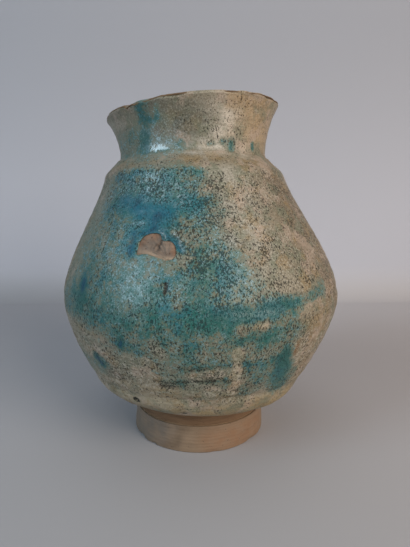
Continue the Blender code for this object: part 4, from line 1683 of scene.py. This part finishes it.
def old_skin_with_painted_light(g):
    """The colour of the weathered skin, with the painted light of its brushed tint."""
    rough = g.crowd.spread(0.0, 0.4)
    drawn = g.grain(2.4, 3.0, 0.6, place=g.vector("MULTIPLY", g.place, STAIN_STRETCH))
    skin_with_painted_light = g.painted("skin_with_painted_light", "Vector")
    skin_with_painted_light = g.mix(g.green.spread(0.48, 0.62, 0.7), skin_with_painted_light, GREEN_SKIN)
    skin_with_painted_light = g.mix(g.ochre.spread(0.5, 0.64, 0.65) * (1 - 0.6 * g.neck), skin_with_painted_light, OCHRE_SKIN)
    skin_with_painted_light = g.mix(g.pink.spread(0.5, 0.64, 0.6), skin_with_painted_light, PINK_SKIN)
    skin_with_painted_light = g.mix(g.copper.spread(0.0, 0.3, 0.85), skin_with_painted_light, GREY_SKIN)
    skin_with_painted_light = g.mix(drawn.spread(0.5, 0.38, 0.25), skin_with_painted_light, DULL_SKIN)
    skin_with_painted_light = g.mix(g.middling.spread(0.48, 0.36) * (0.16 + 0.4 * rough), skin_with_painted_light, DULL_SKIN)
    skin_with_painted_light = g.mix(g.middling.spread(0.52, 0.66) * g.low * 0.6, skin_with_painted_light, PALE_FLAKE)
    skin_with_painted_light = g.mix(g.fine.spread(0.46, 0.34) * (0.2 + 0.4 * g.neck), skin_with_painted_light, DULL_SKIN)
    return g.mix(g.fine.spread(0.52, 0.64) * (0.25 + 0.3 * rough), skin_with_painted_light, PALE_FLAKE)


skin_colour_with_painted_light = old_skin_with_painted_light(glaze_finish)
print("nodes with the skin:", len(glaze_finish.tree.nodes))

# %% [markdown]
# The turquoise lies over the skin in three washes, moss, sea green and turquoise, each needing more
# copper than the one before. Grain of three sizes is added to the brushed strength, so a pool ends in a
# fine mottle and not in a soft edge. Thick glaze turns deep green or blue and then navy, and a pale
# bloom flakes over all of it, laid on thicker as painted highlights.

# %% Turquoise, pools, bloom and painted highlights
MOSS = paint(108, 116, 92)
SEA_GREEN = paint(72, 108, 99)
GREEN_TURQUOISE = paint(26, 98, 90)
BLUE_TURQUOISE = paint(24, 105, 114)
DEEP_GREEN = paint(12, 80, 78)
DEEP_BLUE = paint(8, 98, 120)
NAVY = paint(3, 72, 94)
BLOOM_AND_HIGHLIGHT = paint(158, 180, 186)


def copper_wash(g):
    """How much copper is left at a point: what was brushed on, broken up by the grain."""
    broken = (g.blotch - 0.5) * 2.0 + (g.middling - 0.5) * 2.2 + (g.fine - 0.5) * 1.6
    return g.copper + broken * (0.3 + 0.7 * g.copper.spread(0.0, 0.35) - 0.7 * g.copper.spread(0.75, 1.0))


def washed(g, skin_with_painted_light, wash):
    """The skin under its washes of moss, sea green and turquoise."""
    hue = (g.slow + 0.5 * (g.green - 0.5) + 0.1 * g.upper).spread(0.46, 0.64)
    turquoise = g.mix(hue, GREEN_TURQUOISE, BLUE_TURQUOISE)
    colour = g.mix(wash.spread(0.0, 0.45, 0.85), skin_with_painted_light, MOSS)
    colour = g.mix(wash.spread(0.15, 0.75), colour, SEA_GREEN)
    return g.mix(wash.spread(0.4, 1.05), colour, turquoise)


def pooled(g, colour):
    """The washes with the deep colours where the glaze lies thick."""
    deep = g.mix(g.pool.spread(0.8, 1.0), g.mix(g.upper, DEEP_GREEN, DEEP_BLUE), NAVY)
    broken = 0.6 + 2.2 * (g.blotch - 0.45) + 1.2 * (g.middling - 0.5)
    return g.mix(g.pool * broken + g.pool.spread(0.82, 1.0, 0.45), colour, deep)


def bloomed_and_highlighted(g, colour, wash):
    """The glaze under flakes of bloom, with painted highlights where they were brushed on and at the scar's
    edge.
    """
    flakes = (g.fine * 0.6 + g.middling * 0.4).spread(0.48, 0.64) * (1 - 0.8 * g.pool)
    bloom_and_highlight = g.painted("bloom_and_highlight")
    film = flakes * (0.55 * bloom_and_highlight + wash.spread(0.2, 0.5, 0.52) - wash.spread(0.95, 1.25, 0.42))
    return g.mix(film + bloom_and_highlight * 0.1 + bloom_and_highlight.spread(0.8, 1.0, 0.6), colour, BLOOM_AND_HIGHLIGHT)


glaze_wash = copper_wash(glaze_finish)
glaze_colour = pooled(glaze_finish, washed(glaze_finish, skin_colour_with_painted_light, glaze_wash))
glaze_colour = bloomed_and_highlighted(glaze_finish, glaze_colour, glaze_wash)
print("nodes with the turquoise:", len(glaze_finish.tree.nodes))

# %% [markdown]
# The burst bubbles. Modelled one by one they would be tens of thousands of holes, so they are made in
# the shader. Voronoi cells give one pit to a cell, pushed out of round by grain, and the cell's own
# random colour decides whether it has a pit and how large. Small flecks of grain fill in between. On
# this jar both are a little taller than wide.

# %% Burst bubbles
PIT_CELL = 1.4
PIT_RADIUS = 0.24
PIT_STRETCH = (1.3, 1.3, 0.8)
PIT_RAGGED = 0.8


def pitted(finish, cell, radius, share_of_cells, place=None):
    """Dark ragged dots of mixed sizes about a radius, in a share of the cells of a size."""
    grain = finish.grain(0.5 * cell, 1.0, output="Color")
    pushed = finish.vector("MULTIPLY_ADD", grain, (PIT_RAGGED * cell,) * 3, place or finish.place)
    chance, size, _ = finish.parts(finish.cells(cell, "Color", pushed))
    inside = (radius * (0.4 + size) - finish.cells(cell, place=pushed)).spread(0.0, 0.5 * radius)
    return inside * (share_of_cells - chance).spread(0.0, 0.04)


def glaze_holes(g):
    """Tall pits that crowd together in places, with small flecks between them."""
    thick = g.crowd + (g.grain(6.5, 3.0, 0.6) - 0.5) * 3.4 + (g.middling - 0.5) * 0.8
    tall = g.vector("MULTIPLY", g.place, PIT_STRETCH)
    pits = pitted(g, PIT_CELL, PIT_RADIUS, thick * 0.5, tall)
    flecks = (g.grain(0.85, 2.0, 0.6, place=tall) - 0.1 * thick).spread(0.395, 0.335)
    return pits.most(flecks * 0.9)


holes = glaze_holes(glaze_finish)
print("nodes with the pits:", len(glaze_finish.tree.nodes))

# %% [markdown]
# The last step for the glaze joins colour, pits and gloss. Pits are dark, or teal where the glaze is
# still glassy, and they sink the surface by a bump and dull it. Wide bursts and thin drawn lines are
# only darkened. A clear coat over the kept gloss gives the pale reflections of the window.

# %% Weathered turquoise glaze
PIT_DARK = paint(38, 37, 28)
PIT_TEAL = paint(18, 48, 48)
GLAZE_RELIEF = 0.5
GLAZE_BUMP = 0.7


def weathered_glaze(g, colour, wash, holes):
    """The finished glaze, from its colour, its copper and its holes."""
    glassy = wash.spread(0.25, 0.7)
    burst = (g.painted("burst") + (g.fine - 0.5) * 2.0).spread(0.4, 0.7)
    colour = g.mix(holes * (0.9 - 0.5 * g.pool), colour, g.mix(glassy, PIT_DARK, PIT_TEAL))
    colour = g.mix(burst, colour, PIT_DARK)
    relief = (g.fine * 0.4 + g.middling * 0.6) * (1 - 0.7 * g.gloss) - holes
    return g.done(
        Base_Color=colour,
        Roughness=0.52 - 0.08 * glassy + 0.3 * holes + 0.4 * (g.fine - 0.5),
        Coat_Weight=g.gloss * (1 - 0.9 * holes) * g.middling.spread(0.38, 0.54),
        Coat_Roughness=0.14,
        Coat_IOR=1.8,
        Normal=g.bump(relief, GLAZE_RELIEF, GLAZE_BUMP),
    )


glaze = weathered_glaze(glaze_finish, glaze_colour, glaze_wash, holes)
print("glaze nodes:", len(glaze.node_tree.nodes))

# %% [markdown]
# Bare clay shows on the foot, the stem, the lip and the scar. It is the same buff clay, but each place
# looks different: the foot is grey on its left and orange on its right, the lip is worn dark brown, and
# the scar is greyer. One function gives the clay its grit and its turning lines, and takes the colours.
# Pieces whose colour changes from place to place get it from the brush, and the others take one base
# colour.

# %% Bare clay finishes
STREAK_STRETCH = (0.12, 0.12, 1.6)
PORE_CELL = 1.1
PORE_RADIUS = 0.3


def clay(name, light, dark, base=None, streak=0.5, grit=0.4, depth=0.25):
    """Fired clay with turning streaks, grit and fine pores, over one base colour or the brushed colour."""
    f = Finish(name)
    lines = f.grain(1.6, 3.0, place=f.vector("MULTIPLY", f.place, STREAK_STRETCH))
    cloud = f.grain(6.0, 4.0, 0.6)
    fine = f.grain(0.5, 2.0)
    colour = f.mix(cloud.spread(0.3, 0.7, 0.6), base or f.painted("tint", "Vector"), light)
    colour = f.mix(lines.spread(0.45, 0.75, streak), colour, dark)
    colour = f.mix(fine.spread(0.6, 0.8, 0.35), colour, light)
    pores = pitted(f, PORE_CELL, PORE_RADIUS, 0.3 * cloud)
    colour = f.mix(pores * grit, colour, dark)
    relief = fine * 0.4 + lines * 0.5 - pores * 0.8
    roughness = 0.78 + 0.2 * (cloud - 0.5)
    return f.done(Base_Color=colour, Roughness=roughness, Normal=f.bump(relief, depth, 0.6))


FOOT_BASE = paint(140, 118, 95)
FOOT_TINTS = (
    tint(122, 111, 101, (9, 0.9, (-90, 6), (-55, 6), (-38, 9))),
    tint(112, 92, 72, (2.4, 0.7, (-12, 11), (-20, 5), (-27, 0.5))),
    tint(148, 111, 82, (6, 0.8, (14, 5), (60, 6))),
)
foot_canvas = Canvas(foot, 0.5)
foot_canvas.keep("tint", foot_canvas.tinted(FOOT_BASE, FOOT_TINTS))
foot_clay = clay("foot_clay", paint(150, 128, 106), paint(102, 84, 68), streak=0.25)
stem_clay = clay("stem_clay", paint(132, 103, 76), paint(86, 64, 44), paint(117, 89, 63))
lip_clay = clay("lip_clay", paint(134, 110, 82), paint(72, 54, 38), paint(108, 86, 62), grit=0.8)
body_clay = clay("body_clay", paint(180, 156, 126), paint(132, 106, 78), paint(168, 140, 108))
slip_clay = clay("slip_clay", paint(158, 130, 100), paint(104, 80, 58), paint(140, 112, 84), streak=0.2)
print("nodes of one clay:", len(foot_clay.node_tree.nodes))

# %% [markdown]
# The torn clay of the scar is greyish buff with a warm, burnt edge at its upper left and its right, a
# pale ridge low down, painted shade in the cleft and two dark torn lines to its left. Its strokes are
# only a millimetre or two wide.

# %% Torn clay of the scar
SCAR_BASE = paint(114, 100, 88)
SCAR_TINTS = (
    tint(
        140, 100, 72,
        (2, 0.85, (-24.5, 94), (-21.5, 98), (-17, 98.6)),
        (1.6, 0.8, (-9.5, 95), (-8, 91.5)),
    ),
    tint(170, 148, 126, (0.7, 0.9, (-23, 91.6), (-17.5, 91.4), (-13, 90.2), (-9.5, 89.8))),
    tint(150, 112, 82, (0.7, 0.7, (-23, 90.6), (-15, 89.8))),
    # Painted shade in the cleft, and two dark torn lines to its left.
    tint(
        64, 50, 40,
        (0.5, 0.9, (-14.4, 95.4), (-15.2, 94), (-15, 92.9)),
        (0.35, 0.8, (-16, 94.8), (-16.8, 93.4)),
        (0.3, 0.8, (-17.6, 94.4), (-18.2, 93.2)),
    ),
)
scar_canvas = Canvas(scar, 0.25)
scar_canvas.keep("tint", scar_canvas.tinted(SCAR_BASE, SCAR_TINTS))
torn_clay = clay("torn_clay", paint(160, 142, 126), paint(98, 76, 62), streak=0.3, grit=0.7, depth=0.4)
print("points to paint on the scar:", len(scar_canvas.points))

# %% [markdown]
# The lining's glaze is thinner and better kept than the coat outside: a clouded, greyed sea green with
# pale flakes and pinholes, worn to buff near the lip. Little of it shows, so clouds of grain and the
# height are enough, and nothing is brushed on.

# %% Lining glaze
LINING_GREEN = paint(104, 132, 122)
LINING_PALE = paint(132, 150, 138)
LINING_WORN = paint(164, 146, 116)
LINING_FLAKE = paint(176, 172, 152)


def lining_glaze():
    """Thin sea green glaze, worn to buff near the lip."""
    f = Finish("thin_lining_glaze")
    _, _, height = f.parts(f.place)
    cloud = f.grain(14.0, 4.0, 0.6)
    fine = f.grain(0.9, 2.0)
    worn = height.spread(138.0, 150.0) + (cloud - 0.5) * 1.2
    colour = f.mix(cloud.spread(0.35, 0.65), LINING_GREEN, LINING_PALE)
    colour = f.mix(worn.spread(0.3, 0.8), colour, LINING_WORN)
    colour = f.mix(fine.spread(0.58, 0.75, 0.4), colour, LINING_FLAKE)
    pinholes = pitted(f, 1.5, 0.3, 0.35 * cloud)
    colour = f.mix(pinholes * 0.7, colour, PIT_DARK)
    return f.done(
        Base_Color=colour,
        Roughness=0.36 + 0.3 * pinholes + 0.3 * (cloud - 0.5),
        Normal=f.bump(fine * 0.4 - pinholes, 0.25, 0.5),
    )


inner_glaze = lining_glaze()
print("lining glaze nodes:", len(inner_glaze.node_tree.nodes))

# %% [markdown]
# The paper of the sweep is matt and pale. Its colour carries painted light: warmer and paler at the
# right and towards the bend, with painted shade up the wall. A few soft steps in the shader give that,
# with a breath of cloud, so that no picture of paper is needed.

# %% Paper finish, with painted light
# Painted light and shade on the paper: darker at the left, warmer and paler at the right and towards the
# bend, and darker up the wall.
FLOOR_LEFT_PAINTED_SHADE = paint(178, 178, 182)
FLOOR_RIGHT_PAINTED_LIGHT = paint(188, 182, 181)
FLOOR_BACK_PAINTED_LIGHT = paint(206, 201, 201)
WALL_LOW_PAINTED_LIGHT = paint(211, 211, 219)
WALL_HIGH_PAINTED_SHADE = paint(184, 185, 192)


def sweep_paper_with_painted_light():
    """Matt paper with painted light: paler towards the bend and at the right, and painted shade up the
    wall.
    """
    f = Finish("sweep_paper_with_painted_light")
    side, depth, height = f.parts(f.place)
    cloud = f.grain(160.0, 3.0)
    ground = f.mix(side.spread(-120.0, 260.0), FLOOR_LEFT_PAINTED_SHADE, FLOOR_RIGHT_PAINTED_LIGHT)
    ground = f.mix(depth.spread(60.0, 262.0) * side.spread(-120.0, 120.0), ground, FLOOR_BACK_PAINTED_LIGHT)
    wall = f.mix(height.spread(50.0, 330.0), WALL_LOW_PAINTED_LIGHT, WALL_HIGH_PAINTED_SHADE)
    colour = f.mix(height.spread(0.0, 45.0) + 0.1 * (cloud - 0.5), ground, wall)
    return f.done(Base_Color=colour, Roughness=0.9 + 0.05 * cloud)


sweep.data.materials.append(sweep_paper_with_painted_light())
print("paper:", sweep.data.materials[0].name)

# %% [markdown]
# Last, every piece gets its finish, hides the packed node that it stands for, and rides on the jar's
# one body. The sections that stay inside the wall keep their packed shape.

# %% Finish, replace and ride
PIECES = (
    (coat, glaze, "outer_glaze", "outer_glaze"),
    (scar, torn_clay, "lug_root", "broken_clay"),
    (neck, lip_clay, "neck", "bare_clay"),
    (inside, inner_glaze, "inner_glaze", "inner_glaze"),
    (foot, foot_clay, "foot_ring", "bare_clay"),
    (bowl, stem_clay, "lower_body", "body_clay"),
)
KEPT = {
    "upper_body": body_clay,
    "neck_collar": body_clay,
    "belly_slip": slip_clay,
    "foot_slip": slip_clay,
    "neck_slip": slip_clay,
}
for made, finish, node, slot in PIECES:
    made.data.materials.clear()
    made.data.materials.append(finish)
    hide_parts(node)
    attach(made, "root")
for node, finish in KEPT.items():
    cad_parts[node].data.materials.clear()
    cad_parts[node].data.materials.append(finish)
print("pieces:", [made.name for made, *_ in PIECES], "kept:", sorted(KEPT))

# %% [markdown]
# At the end the jar is measured again, and the box round the fine pieces and the box of the packed part
# are printed together, in metres.

# %% Size
visual_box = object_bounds()
sizes = {
    "cad": [list(corner_point) for corner_point in cad_box],
    "visual": [list(corner_point) for corner_point in visual_box],
}
print("sizes:", sizes)
